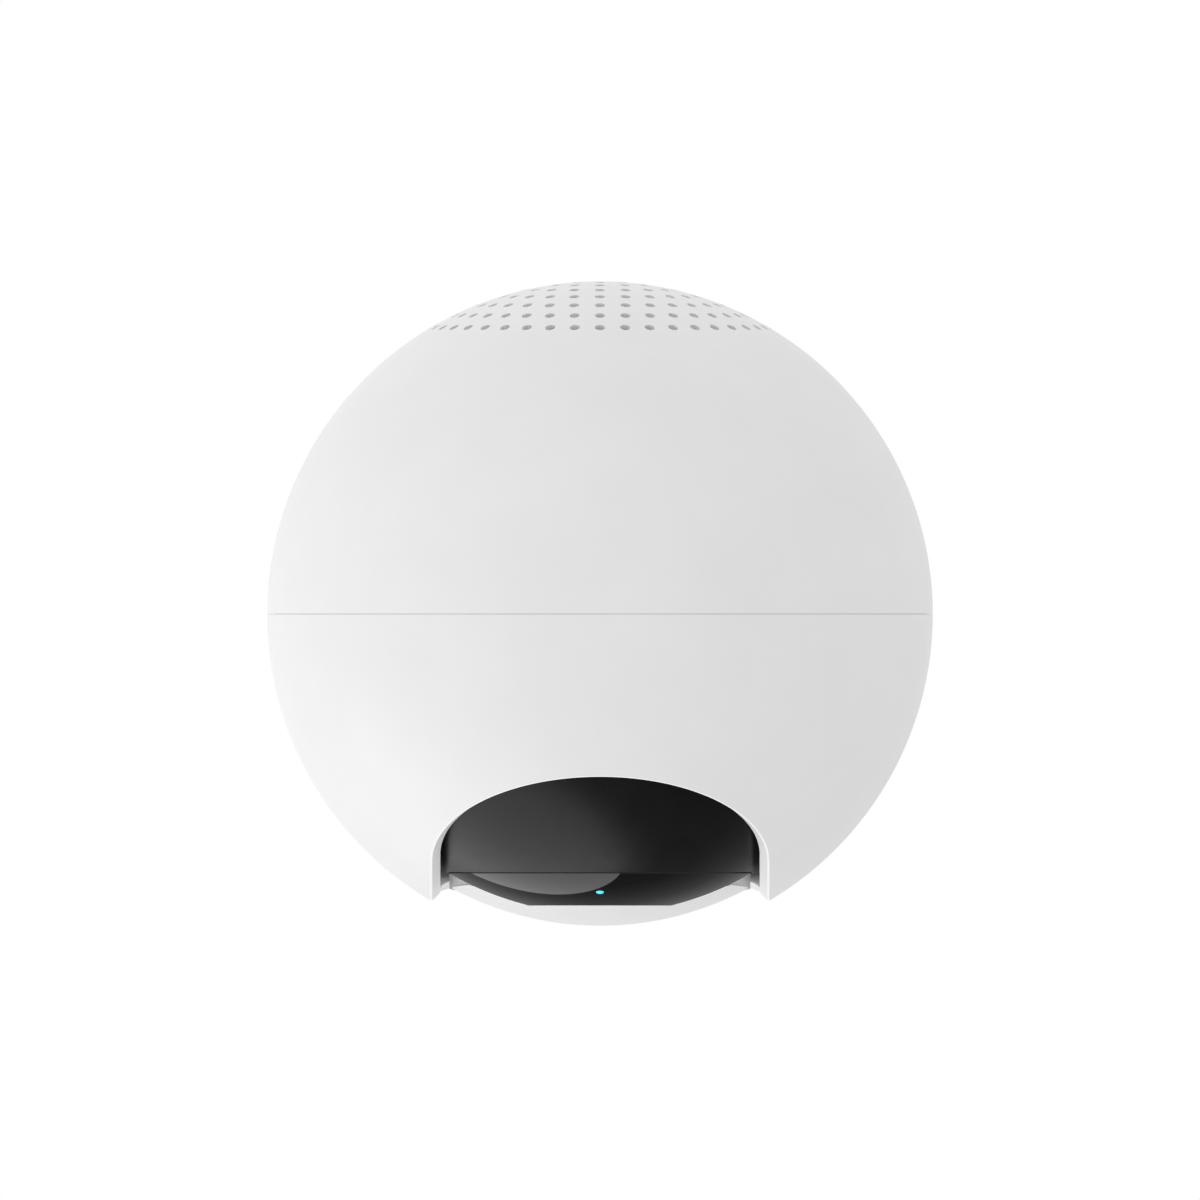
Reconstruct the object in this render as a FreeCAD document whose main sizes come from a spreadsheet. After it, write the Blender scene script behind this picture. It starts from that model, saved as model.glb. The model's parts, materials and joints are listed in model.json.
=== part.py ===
import FreeCAD, Part
import Sketcher
import math
import os

# Ball-shaped smart speaker, millimetres, +Z up, front towards -Y.
# Every piece is drawn about the centre of the ball and then lifted by
# ball_height, so that the foot stands on z = 0 below the centre.

DIMENSIONS = {
    # outer ball
    "shell_radius": 50.0,
    "shell_inner": 48.0,
    "ball_height": 46.8,
    "seam_half": 0.08,
    "tongue_outer": 49.0,
    "tongue_rise": 1.5,
    "tongue_play": 0.1,
    # sound holes in the top
    "sound_hole_radius": 0.75,
    "sound_hole_step": 4.35,
    "sound_hole_rings": 7,
    "mesh_outer": 47.95,
    "mesh_inner": 47.6,
    "mesh_half_angle": 34.0,
    # opening in the lower shell
    "opening_outer": 25.3,
    "opening_level": 43.12,
    "opening_flare": 1.0185,
    "opening_low_level": 37.0,
    "opening_high_level": 53.0,
    "opening_front_tilt": 30.3,
    "opening_rear_tilt": 7.5,
    "opening_edge_round": 0.25,
    # inner ball
    "core_radius": 46.8,
    "cover_inner": 45.0,
    "cover_rim": -8.0,
    "cover_floor_low": -38.75,
    "cover_floor_high": -37.3,
    "cable_hole_radius": 3.0,
    "cap_edge_level": -41.2,
    "cap_front_level": -40.0,
    "cap_tilt": -2.46,
    "neck_radius": 16.5,
    "neck_top": -38.75,
    "front_cut": 12.66,
    "window_low": -43.6,
    "window_high": -38.85,
    "window_inner": 45.4,
    "glass_gap": 0.04,
    "window_wall": 1.1,
    "window_wall_ball": 45.95,
    "weight_radius": 10.5,
    "weight_low": -44.2,
    "weight_high": -38.95,
    "weight_play": 0.1,
    "foot_radius": 5.0,
    "foot_top": -45.9,
    "foot_bottom": -46.8,
    "foot_chamfer": 0.3,
    # pivots on the left and right
    "ear_half_width": 7.0,
    "ear_top": 7.0,
    "bush_radius": 3.0,
    "bush_bore": 2.05,
    "bush_out": 46.6,
    "bush_flange_radius": 4.2,
    "bush_flange_out": 44.6,
    "bush_in": 43.8,
    "pin_radius": 2.0,
    "pin_bore": 1.2,
    "pin_out": 48.95,
    "press_play": 0.02,
    "pin_head_radius": 3.4,
    "pin_head_out": 42.9,
    "pin_in": 42.0,
    "washer_out": 43.5,
    "washer_in": 42.95,
    "washer_radius": 3.8,
    "washer_bore": 2.05,
    "boss_radius": 5.0,
    "boss_in": 47.15,
    "boss_out": 48.9,
    # light and sensor behind the window
    "light_tilt": 26.6,
    "light_radius": 0.59,
    "light_hole_radius": 0.68,
    "light_out": 46.8,
    "light_in": 45.05,
    "light_board_half": 8.0,
    "light_board_front": -19.0,
    "light_board_rear": -14.0,
    "light_board_low": -39.9,
    "light_board_high": -39.1,
    "lamp_half": 0.8,
    "lamp_front": -18.9,
    "lamp_rear": -17.7,
    "lamp_low": -40.5,
    "sensor_left": 2.0,
    "sensor_right": 8.0,
    "sensor_front": -18.0,
    "sensor_rear": -15.0,
    "sensor_low": -40.8,
    "sensor_eye_radius": 0.3,
    "sensor_eye_depth": 0.4,
    # electronics in the inner ball
    "post_radius": 2.6,
    "post_ring": 28.0,
    "post_turn": 28.0,
    "post_inner_ball": 46.2,
    "board_low": -26.0,
    "board_high": -24.4,
    "board_radius": 33.0,
    "battery_pad_half_length": 9.0,
    "battery_pad_half_width": 10.0,
    "battery_half_length": 19.0,
    "battery_half_width": 13.5,
    "battery_low": -35.8,
    "battery_high": -28.0,
    "battery_round": 2.0,
    "battery_cap_length": 1.6,
    "battery_cap_half": 8.0,
    "shield_half_length": 11.0,
    "shield_half_width": 8.0,
    "shield_high": -21.6,
    "shield_wall": 0.3,
    "shield_shift": 6.0,
    "chip_left": -11.0,
    "chip_front": -18.0,
    "chip_side": 8.0,
    "chip_high": -23.4,
    "harness_radius": 0.9,
    "harness_foot": 31.0,
    "harness_start": -24.3,
    "harness_bend": 4.0,
    "harness_tip": 47.0,
    # screws
    "screw_radius": 1.0,
    "screw_point_radius": 0.5,
    "screw_head_radius": 1.9,
    "screw_head_side": 0.6,
    "screw_head_top_radius": 1.4,
    "screw_head_height": 1.2,
    "screw_slot_radius": 0.8,
    "screw_slot_depth": 0.7,
    "screw_play": 0.05,
    "screw_tip_room": 0.4,
    "board_screw_length": 6.0,
    "cap_screw_length": 4.0,
    "cap_screw_ring": 13.6,
    "cap_screw_turn": 90.0,
    "baffle_screw_length": 6.5,
    "driver_screw_length": 3.6,
    "io_screw_length": 5.0,
    # baffle and loudspeaker driver in the outer ball
    "baffle_low": 27.0,
    "baffle_high": 29.0,
    "baffle_radius": 38.0,
    "baffle_opening": 24.6,
    "baffle_screw_ring": 33.0,
    "baffle_screw_turn": 45.0,
    "stud_radius": 2.5,
    "stud_ball": 48.6,
    "flange_radius": 29.5,
    "flange_screw_ring": 27.2,
    "flange_screw_turn": 0.0,
    "flange_low": 29.4,
    "flange_high": 30.4,
    "gasket_inner": 24.8,
    "basket_radius": 24.0,
    "basket_outer": 24.4,
    "basket_inner": 23.2,
    "basket_shoulder": 27.4,
    "basket_seat": 15.0,
    "basket_waist": 17.0,
    "basket_low": 16.1,
    "basket_floor": 17.1,
    "basket_hole": 8.9,
    "basket_window_radius": 3.0,
    "basket_window_level": 24.0,
    "spider_seat_level": 19.4,
    "spider_seat_high": 20.2,
    "spider_seat_inner": 15.8,
    "spider_seat_outer": 18.2,
    "plate_high": 16.0,
    "plate_low": 14.0,
    "plate_radius": 15.0,
    "plate_bore": 8.7,
    "magnet_low": 8.0,
    "magnet_radius": 16.0,
    "magnet_bore": 9.6,
    "yoke_low": 5.0,
    "yoke_radius": 15.6,
    "yoke_chamfer": 1.0,
    "pole_radius": 7.1,
    "pole_high": 16.0,
    "pole_bore": 2.0,
    "former_inner": 7.5,
    "former_outer": 7.7,
    "former_low": 11.5,
    "former_high": 23.2,
    "coil_radius": 8.2,
    "coil_low": 12.0,
    "coil_high": 18.0,
    "cone_foot_radius": 7.75,
    "cone_foot_level": 22.2,
    "cone_edge_radius": 20.4,
    "cone_edge_level": 30.2,
    "cone_thick": 0.5,
    "cone_foot_thick": 0.65,
    "cap_dome_radius": 9.0,
    "cap_dome_inner": 8.4,
    "cap_dome_gap": 0.05,
    "cap_dome_rise": 2.4,
    "cap_dome_thick": 0.4,
    "roll_inner": 20.5,
    "roll_outer": 24.6,
    "roll_height": 1.5,
    "roll_thick": 0.5,
    "spider_wave_height": 0.35,
    "spider_thick": 0.35,
    "spider_level": 20.25,
    "spider_inner": 7.75,
    "spider_outer": 17.8,
    # microphones
    "mic_board_out": 33.6,
    "mic_board_in": 30.2,
    "mic_board_half": 6.0,
    "mic_board_thick": 0.8,
    "mic_half_width": 1.4,
    "mic_half_length": 2.0,
    "mic_high": 31.0,
    "mic_port_radius": 0.35,
    "mic_port_depth": 0.3,
    # inlet, button and their board at the rear
    "io_board_front": 37.4,
    "io_board_rear": 38.6,
    "io_board_half": 11.0,
    "io_board_low": 1.0,
    "io_board_high": 23.0,
    "inlet_level": 6.0,
    "inlet_half_width": 4.5,
    "inlet_half_height": 1.6,
    "inlet_play": 0.1,
    "inlet_wall": 0.35,
    "inlet_out": 49.0,
    "inlet_tongue_half": 3.2,
    "inlet_tongue_thick": 0.35,
    "inlet_tongue_out": 47.6,
    "inlet_back": 41.0,
    "button_level": 17.0,
    "button_radius": 2.6,
    "button_play": 0.06,
    "button_in": 42.2,
    "button_collar_radius": 3.4,
    "button_collar_out": 43.0,
    "switch_half": 2.2,
    "switch_out": 41.0,
    "switch_knob_radius": 1.0,
    "switch_knob_out": 41.6,
    "io_screw_side": 8.0,
    "io_screw_level": 11.5,
    "io_post_radius": 2.3,
    # lengths that only carry a cutting tool past the faces it cuts
    "overrun": 1.0,
    "clearance_length": 60.0,
}

BAFFLE_SCREWS = 4
DRIVER_SCREWS = 4
CAP_SCREWS = 3
BASKET_BARS = 3
SPIDER_WAVES = 3
ROLL_STEPS = 8
DOME_STEPS = 6
FULL_TURN = 360
HOLES_PER_RING = 6
FRONT_ANGLE = -90
POST_ANGLES = ("post_turn", "180 - post_turn", "180 + post_turn", "-post_turn")

doc = FreeCAD.newDocument("SmartSpeaker")
sheet = doc.addObject("Spreadsheet::Sheet", "Dims")
for row, (dimension, amount) in enumerate(DIMENSIONS.items(), start=1):
    sheet.set("A%d" % row, dimension)
    sheet.set("B%d" % row, "%r" % amount)
    sheet.setAlias("B%d" % row, dimension)
doc.recompute()

nodes = []
AROUND_X = FreeCAD.Vector(1, 0, 0)
AROUND_Y = FreeCAD.Vector(0, 1, 0)
AROUND_Z = FreeCAD.Vector(0, 0, 1)
UPRIGHT = FreeCAD.Rotation()
TO_RIGHT = FreeCAD.Rotation(AROUND_Y, 90)
TO_LEFT = FreeCAD.Rotation(AROUND_Y, -90)
TO_REAR = FreeCAD.Rotation(AROUND_X, -90)
TO_FRONT = FreeCAD.Rotation(AROUND_X, 90)
DOWNWARD = FreeCAD.Rotation(AROUND_X, 180)


def size(name):
    """The value of one dimension of the sheet."""
    return float(sheet.get(name))


def formula(text):
    """Turns bare dimension names into references to the sheet."""
    words = []
    word = ""
    for letter in text + " ":
        if letter.isalnum() or letter in "_.":
            word += letter
            continue
        if word in DIMENSIONS:
            word = "Dims." + word
        words.append(word + letter)
        word = ""
    return "".join(words).strip()


def bind(piece, **properties):
    for name, text in properties.items():
        piece.setExpression(name, formula(text))


def put(piece, x="0", y="0", z="0", turn=UPRIGHT):
    """Places a piece, with its position bound to the sheet."""
    piece.Placement = FreeCAD.Placement(FreeCAD.Vector(), turn)
    for axis, text in (("x", x), ("y", y), ("z", z)):
        if text != "0":
            piece.setExpression("Placement.Base." + axis, formula(text))
    return piece


def node(piece, x="0", y="0", z="0", turn=UPRIGHT):
    """Lifts a finished piece into place and lists it for export."""
    put(piece, x, y, "ball_height + (%s)" % z, turn)
    nodes.append(piece)
    return piece


def ball(name, radius):
    piece = doc.addObject("Part::Sphere", name)
    bind(piece, Radius=radius)
    return piece


def rod(name, radius, low, high, x="0", y="0", z="0", turn=UPRIGHT):
    """A cylinder along its own axis from low to high."""
    piece = doc.addObject("Part::Cylinder", name)
    bind(piece, Radius=radius, Height="(%s) - (%s)" % (high, low))
    start = turn.multVec(AROUND_Z)
    places = []
    for text, part in ((x, start.x), (y, start.y), (z, start.z)):
        part = int(round(part))
        places.append("(%s) + (%s) * (%d)" % (text, low, part) if part else text)
    return put(piece, places[0], places[1], places[2], turn)


def block(name, x, y, z):
    """A box; x, y and z are pairs of limits."""
    piece = doc.addObject("Part::Box", name)
    bind(piece,
         Length="(%s) - (%s)" % (x[1], x[0]),
         Width="(%s) - (%s)" % (y[1], y[0]),
         Height="(%s) - (%s)" % (z[1], z[0]))
    return put(piece, x[0], y[0], z[0])


def lean(piece, angle):
    """Turns a piece about the X axis by an angle bound to the sheet."""
    piece.Placement.Rotation = FreeCAD.Rotation(AROUND_X, 1)
    piece.setExpression("Placement.Rotation.Angle", formula(angle))


def fuse(name, pieces):
    piece = doc.addObject("Part::MultiFuse", name)
    piece.Shapes = pieces
    return piece


def overlap(name, pieces):
    piece = doc.addObject("Part::MultiCommon", name)
    piece.Shapes = pieces
    return piece


def cut(name, base, tool):
    piece = doc.addObject("Part::Cut", name)
    piece.Base = base
    piece.Tool = tool
    return piece


def group(name, pieces):
    piece = doc.addObject("Part::Compound", name)
    piece.Links = pieces
    return piece


def origin_plane(body, role):
    return [item for item in body.Origin.OriginFeatures if item.Role == role][0]


def profile(body, name, corners):
    """A closed sketch in the XZ plane of a body.

    Each corner is (radius, height, edge); edge is "line", or "arc" for an
    arc about the centre of the ball that runs to the next corner.
    """
    sketch = body.newObject("Sketcher::SketchObject", name)
    sketch.AttachmentSupport = (origin_plane(body, "XZ_Plane"), [""])
    sketch.MapMode = "FlatFace"
    points = []
    for radius, height, edge in corners:
        across = float(sheet.evalExpression(formula(radius)))
        up = float(sheet.evalExpression(formula(height)))
        points.append(FreeCAD.Vector(across, up, 0))
    ends = []
    for index, (radius, height, edge) in enumerate(corners):
        here = points[index]
        there = points[(index + 1) % len(points)]
        if edge == "line":
            curve = sketch.addGeometry(Part.LineSegment(here, there), False)
            ends.append((curve, 1, 2))
            continue
        first = math.atan2(here.y, here.x)
        last = math.atan2(there.y, there.x)
        circle = Part.Circle(FreeCAD.Vector(), AROUND_Z, here.Length)
        rising = last > first
        arc = Part.ArcOfCircle(circle, min(first, last), max(first, last))
        curve = sketch.addGeometry(arc, False)
        ends.append((curve, 1, 2) if rising else (curve, 2, 1))
        sketch.addConstraint(Sketcher.Constraint("Coincident", curve, 3, -1, 1))
    for index, (curve, start, end) in enumerate(ends):
        following = ends[(index + 1) % len(ends)]
        sketch.addConstraint(
            Sketcher.Constraint("Coincident", curve, end, following[0], following[1]))
    for index, (radius, height, edge) in enumerate(corners):
        curve, start, end = ends[index]
        closes_arc = corners[index - 1][2] == "arc"
        on_axis = radius == "0"
        if on_axis:
            sketch.addConstraint(Sketcher.Constraint("PointOnObject", curve, start, -2))
        elif not closes_arc:
            fix(sketch, "DistanceX", curve, start, points[index].x, radius)
        if height == "0":
            sketch.addConstraint(Sketcher.Constraint("PointOnObject", curve, start, -1))
        elif not (closes_arc and on_axis):
            fix(sketch, "DistanceY", curve, start, points[index].y, height)
    return sketch


def fix(sketch, kind, curve, end, amount, text):
    number = sketch.addConstraint(Sketcher.Constraint(kind, -1, 1, curve, end, amount))
    sketch.setExpression("Constraints[%d]" % number, formula(text))


def turned(name, corners):
    """A body turned about its own Z axis from a closed profile."""
    body = doc.addObject("PartDesign::Body", name)
    sketch = profile(body, name + "_profile", corners)
    feature = body.newObject("PartDesign::Revolution", name + "_turned")
    feature.Profile = sketch
    feature.ReferenceAxis = (sketch, ["V_Axis"])
    feature.Angle = FULL_TURN
    body.Tip = feature
    return body


def ring(name, inner, outer, low, high):
    """A plain ring or washer."""
    return turned(name, [(inner, low, "line"), (outer, low, "line"),
                         (outer, high, "line"), (inner, high, "line")])


def screw(name, length):
    """A pan-head screw with its head seated at its own z = 0, shank down."""
    return turned(name, [
        ("0", "-(%s)" % length, "line"),
        ("screw_point_radius", "-(%s)" % length, "line"),
        ("screw_radius", "-(%s) + screw_radius" % length, "line"),
        ("screw_radius", "0", "line"),
        ("screw_head_radius", "0", "line"),
        ("screw_head_radius", "screw_head_side", "line"),
        ("screw_head_top_radius", "screw_head_height", "line"),
        ("screw_slot_radius", "screw_head_height", "line"),
        ("screw_slot_radius", "screw_head_height - screw_slot_depth", "line"),
        ("0", "screw_head_height - screw_slot_depth", "line")])


def around(distance, angle):
    """X and Y formulas of a point on a circle about the Z axis."""
    return ("(%s) * cos(%s)" % (distance, angle), "(%s) * sin(%s)" % (distance, angle))


def turn_of(first_angle, index, count):
    """Angle of one of several things spread evenly round the Z axis."""
    return "%s + %d" % (first_angle, index * FULL_TURN // count)


def rods_around(name, count, first_angle, distance, radius, low, high):
    """Equal upright rods spread evenly round the Z axis."""
    rods = []
    for index in range(count):
        x, y = around(distance, turn_of(first_angle, index, count))
        rods.append(rod("%s_%d" % (name, index + 1), radius, low, high, x, y))
    return rods


def half_ball_shell(name, outer, inner, edge, upper):
    """Half of a hollow ball, from its edge level to the pole."""
    sign = "" if upper else "-"
    return turned(name, [
        ("sqrt((%s)^2 - (%s)^2)" % (outer, edge), "%s(%s)" % (sign, edge), "arc"),
        ("0", "%s(%s)" % (sign, outer), "line"),
        ("0", "%s(%s)" % (sign, inner), "arc"),
        ("sqrt((%s)^2 - (%s)^2)" % (inner, edge), "%s(%s)" % (sign, edge), "line")])


# ---------------------------------------------------------------- outer ball

def sound_holes():
    """Round holes square to the ball, in rings about its top."""
    step = size("sound_hole_step")
    low = size("mesh_outer") - size("overrun")
    length = size("shell_radius") + size("overrun") - low
    holes = []
    for ring_number in range(int(size("sound_hole_rings")) + 1):
        count = max(1, HOLES_PER_RING * ring_number)
        for index in range(count):
            turn = FreeCAD.Rotation(AROUND_Z, FRONT_ANGLE + index * FULL_TURN / count)
            tilt = FreeCAD.Rotation(AROUND_Y, step * ring_number)
            along = turn.multVec(tilt.multVec(AROUND_Z))
            holes.append(Part.makeCylinder(size("sound_hole_radius"), length,
                                           along * low, along))
    piece = doc.addObject("Part::Feature", "sound_holes")
    piece.Shape = Part.makeCompound(holes)
    return piece


def opening_tool():
    """The flared opening: a cone swept about the X axis between two tilts."""
    low_radius = "opening_outer + (opening_low_level - opening_level) * opening_flare"
    high_radius = "opening_outer + (opening_high_level - opening_level) * opening_flare"
    cones = []
    for name, tilt in (("opening_front", "-opening_front_tilt"),
                       ("opening_rear", "opening_rear_tilt")):
        cone = doc.addObject("Part::Cone", name)
        bind(cone, Radius1=low_radius, Radius2=high_radius,
             Height="opening_high_level - opening_low_level")
        cone.Placement = FreeCAD.Placement(FreeCAD.Vector(), DOWNWARD)
        put(cone, "0", "opening_low_level * sin(%s)" % tilt,
            "-opening_low_level * cos(%s)" % tilt)
        cone.setExpression("Placement.Rotation.Angle", formula("180 + %s" % tilt))
        cone.Placement.Rotation.Axis = AROUND_X
        cones.append(cone)
    sketch = doc.addObject("Sketcher::SketchObject", "opening_section")
    sketch.Placement = FreeCAD.Placement(FreeCAD.Vector(), FreeCAD.Rotation(AROUND_X, 90))
    corners = [("-(%s)" % low_radius, "-opening_low_level"),
               (low_radius, "-opening_low_level"),
               (high_radius, "-opening_high_level"),
               ("-(%s)" % high_radius, "-opening_high_level")]
    points = [FreeCAD.Vector(float(sheet.evalExpression(formula(across))),
                             float(sheet.evalExpression(formula(up))), 0)
              for across, up in corners]
    for index, here in enumerate(points):
        following = (index + 1) % len(points)
        sketch.addGeometry(Part.LineSegment(here, points[following]), False)
    for index in range(len(points)):
        following = (index + 1) % len(points)
        sketch.addConstraint(Sketcher.Constraint("Coincident", index, 2, following, 1))
    for index, (across, up) in enumerate(corners):
        fix(sketch, "DistanceX", index, 1, points[index].x, across)
        fix(sketch, "DistanceY", index, 1, points[index].y, up)
    sweep = doc.addObject("Part::Revolution", "opening_sweep")
    sweep.Source = sketch
    sweep.Axis = AROUND_X
    sweep.Base = FreeCAD.Vector()
    sweep.Solid = True
    bind(sweep, Angle="opening_front_tilt + opening_rear_tilt")
    sweep.Placement.Rotation.Axis = AROUND_X
    sweep.setExpression("Placement.Rotation.Angle", formula("-opening_front_tilt"))
    return fuse("opening_tool", [cones[0], cones[1], sweep])


def pivot_drill(name):
    """The hole for both pivot pins, along the X axis."""
    return rod(name, "pin_radius + press_play", "-pin_out", "pin_out", turn=TO_RIGHT)


def pivot_bosses(name, upper):
    """Flat pads inside the wall round the two pivot pins."""
    reach = "boss_radius + overrun"
    limits = ("seam_half", reach) if upper else ("-(%s)" % reach, "-seam_half")
    bar = rod(name + "_bar", "boss_radius", "-tongue_outer", "tongue_outer", turn=TO_RIGHT)
    space = rod(name + "_space", reach, "-boss_in", "boss_in", turn=TO_RIGHT)
    half = block(name + "_half", ("-shell_radius", "shell_radius"),
                 ("-(%s)" % reach, reach), limits)
    ends = cut(name + "_ends", bar, space)
    return overlap(name, [ends, half, ball(name + "_within", "boss_out")])


def upper_shell():
    wall = half_ball_shell("upper_wall", "shell_radius", "shell_inner", "seam_half", True)
    rebate = rod("upper_rebate", "tongue_outer + tongue_play", "-tongue_play",
                 "tongue_rise + tongue_play")
    slot = ring("upper_boss_slot", "shell_inner - tongue_play", "tongue_outer + tongue_play",
                "-tongue_play", "tongue_rise + tongue_play")
    posts = rods_around("baffle_stud", BAFFLE_SCREWS, "baffle_screw_turn",
                        "baffle_screw_ring", "stud_radius", "baffle_high",
                        "clearance_length")
    drills = rods_around("stud_drill", BAFFLE_SCREWS, "baffle_screw_turn",
                         "baffle_screw_ring", "screw_radius + screw_play",
                         "baffle_high - overrun",
                         "baffle_low + baffle_screw_length + screw_tip_room")
    for label, side in (("left", "-io_screw_side"), ("right", "io_screw_side")):
        posts.append(rod("io_post_" + label, "io_post_radius", "io_board_rear",
                         "shell_radius", side, "0", "io_screw_level", TO_REAR))
        drills.append(rod("io_drill_" + label, "screw_radius + screw_play",
                          "io_board_rear - overrun",
                          "io_board_front + io_screw_length + screw_tip_room",
                          side, "0", "io_screw_level", TO_REAR))
    inside = overlap("upper_posts", [group("upper_post_rods", posts),
                                     ball("upper_post_limit", "stud_ball")])
    drills.append(rod("button_drill", "button_radius + button_play", "button_in",
                      "clearance_length", "0", "0", "button_level", TO_REAR))
    drills.append(inlet_outline("inlet_cutout", "inlet_half_width + inlet_play",
                                "inlet_half_height + inlet_play", "inlet_back",
                                "clearance_length"))
    drills.append(pivot_drill("upper_pivot_drill"))
    drills.append(sound_holes())
    body = cut("upper_rebated", wall, rebate)
    boss = cut("upper_boss", pivot_bosses("upper_boss_full", True), slot)
    solid = fuse("upper_solid", [body, inside, boss])
    return node(cut("upper_shell", solid, group("upper_cuts", drills)))


def lower_shell():
    wall = half_ball_shell("lower_wall", "shell_radius", "shell_inner", "seam_half", False)
    tongue = ring("lower_tongue", "shell_inner", "tongue_outer", "-seam_half",
                  "tongue_rise")
    solid = fuse("lower_solid", [wall, tongue, pivot_bosses("lower_boss", False)])
    drilled = cut("lower_drilled", solid, pivot_drill("lower_pivot_drill"))
    opened = cut("lower_opened", drilled, opening_tool())
    doc.recompute()
    rounded = doc.addObject("Part::Fillet", "lower_shell")
    rounded.Base = opened
    radius = size("opening_edge_round")
    rounded.Edges = [(number, radius, radius) for number in opening_edges(opened.Shape)]
    return node(rounded)


def opening_edges(shape):
    """Numbers of the outer and inner edges of the opening."""
    found = []
    for number, edge in enumerate(shape.Edges, start=1):
        points = edge.discretize(5)
        reaches = [point.Length for point in points]
        low = max(point.z for point in points) < -size("opening_low_level") * 0.5
        for radius in (size("shell_radius"), size("shell_inner")):
            if low and max(abs(reach - radius) for reach in reaches) < 0.001:
                found.append(number)
    return found


def inlet_outline(name, half_width, half_height, low, high):
    """A flat-sided oval bar along Y: two rods and the block between them."""
    middle = "(%s) - (%s)" % (half_width, half_height)
    left = rod(name + "_left", half_height, low, high, "-(%s)" % middle, "0",
               "inlet_level", TO_REAR)
    right = rod(name + "_right", half_height, low, high, middle, "0",
                "inlet_level", TO_REAR)
    centre = block(name + "_centre", ("-(%s)" % middle, middle), (low, high),
                   ("inlet_level - (%s)" % half_height, "inlet_level + (%s)" % half_height))
    return fuse(name, [left, right, centre])


def grille_mesh():
    """Cloth cap under the sound holes."""
    piece = turned("grille_mesh", [
        ("mesh_outer * sin(mesh_half_angle)", "mesh_outer * cos(mesh_half_angle)", "arc"),
        ("0", "mesh_outer", "line"),
        ("0", "mesh_inner", "arc"),
        ("mesh_inner * sin(mesh_half_angle)", "mesh_inner * cos(mesh_half_angle)", "line")])
    return node(piece)


# ------------------------------------------------------- loudspeaker driver

def baffle():
    plate = ring("baffle_plate", "baffle_opening", "baffle_radius", "baffle_low",
                 "baffle_high")
    holes = rods_around("baffle_hole", BAFFLE_SCREWS, "baffle_screw_turn",
                        "baffle_screw_ring", "screw_radius + screw_play",
                        "baffle_low - overrun", "baffle_high + overrun")
    holes += rods_around("flange_pilot", DRIVER_SCREWS, "flange_screw_turn",
                         "flange_screw_ring", "screw_radius + screw_play",
                         "baffle_low - overrun", "baffle_high + overrun")
    node(cut("baffle", plate, group("baffle_holes", holes)))
    for index in range(BAFFLE_SCREWS):
        x, y = around("baffle_screw_ring", turn_of("baffle_screw_turn", index, BAFFLE_SCREWS))
        node(screw("baffle_screw_%d" % (index + 1), "baffle_screw_length"),
             x, y, "baffle_low", DOWNWARD)
    for index in range(DRIVER_SCREWS):
        x, y = around("flange_screw_ring", turn_of("flange_screw_turn", index, DRIVER_SCREWS))
        node(screw("driver_screw_%d" % (index + 1), "driver_screw_length"),
             x, y, "flange_high")


def driver_basket():
    frame = turned("basket_frame", [
        ("basket_hole", "basket_low", "line"),
        ("basket_waist", "basket_low", "line"),
        ("basket_outer", "basket_shoulder", "line"),
        ("basket_outer", "flange_low", "line"),
        ("flange_radius", "flange_low", "line"),
        ("flange_radius", "flange_high", "line"),
        ("basket_radius", "flange_high", "line"),
        ("basket_inner", "basket_shoulder", "line"),
        ("spider_seat_outer", "spider_seat_high", "line"),
        ("spider_seat_inner", "spider_seat_level", "line"),
        ("basket_seat", "basket_floor", "line"),
        ("basket_hole", "basket_floor", "line")])
    windows = []
    for index in range(BASKET_BARS):
        angle = index * FULL_TURN / BASKET_BARS / 2
        hole = doc.addObject("Part::Cylinder", "basket_window_%d" % (index + 1))
        bind(hole, Radius="basket_window_radius", Height="2 * clearance_length")
        x, y = around("-clearance_length", "%g" % angle)
        put(hole, x, y, "basket_window_level",
            FreeCAD.Rotation(AROUND_Z, angle).multiply(TO_RIGHT))
        windows.append(hole)
    holes = rods_around("flange_hole", DRIVER_SCREWS, "flange_screw_turn",
                        "flange_screw_ring", "screw_radius + screw_play",
                        "flange_low - overrun", "flange_high + overrun")
    node(cut("driver_basket", frame, group("basket_cuts", windows + holes)))
    seal = ring("gasket_ring", "gasket_inner", "flange_radius", "baffle_high",
                "flange_low")
    openings = rods_around("gasket_hole", DRIVER_SCREWS, "flange_screw_turn",
                           "flange_screw_ring", "screw_radius + screw_play",
                           "baffle_high - overrun", "flange_low + overrun")
    node(cut("driver_gasket", seal, group("gasket_holes", openings)))


def driver_motor():
    node(ring("top_plate", "plate_bore", "plate_radius", "plate_low", "plate_high"))
    node(ring("magnet", "magnet_bore", "magnet_radius", "magnet_low", "plate_low"))
    node(turned("yoke", [
        ("pole_bore", "yoke_low", "line"),
        ("yoke_radius - yoke_chamfer", "yoke_low", "line"),
        ("yoke_radius", "yoke_low + yoke_chamfer", "line"),
        ("yoke_radius", "magnet_low", "line"),
        ("pole_radius", "magnet_low", "line"),
        ("pole_radius", "pole_high", "line"),
        ("pole_bore", "pole_high", "line")]))


def driver_moving_parts():
    node(ring("coil_former", "former_inner", "former_outer", "former_low", "former_high"))
    node(ring("voice_coil", "former_outer", "coil_radius", "coil_low", "coil_high"))
    node(turned("cone", [
        ("cone_foot_radius", "cone_foot_level", "line"),
        ("cone_edge_radius", "cone_edge_level - cone_thick", "line"),
        ("cone_edge_radius", "cone_edge_level", "line"),
        ("cone_foot_radius", "cone_foot_level + cone_foot_thick", "line")]))
    slope = "(cone_edge_level - cone_foot_level) / (cone_edge_radius - cone_foot_radius)"
    rest = ("cone_foot_level + cone_foot_thick + cap_dome_gap"
            " + (cap_dome_radius - cone_foot_radius) * %s" % slope)
    outside = dome_edge("cap_dome_radius", "cap_dome_rise", rest)
    inside = dome_edge("cap_dome_inner", "cap_dome_rise - cap_dome_thick", rest)
    node(turned("dust_cap", outside + inside[::-1]))


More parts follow.
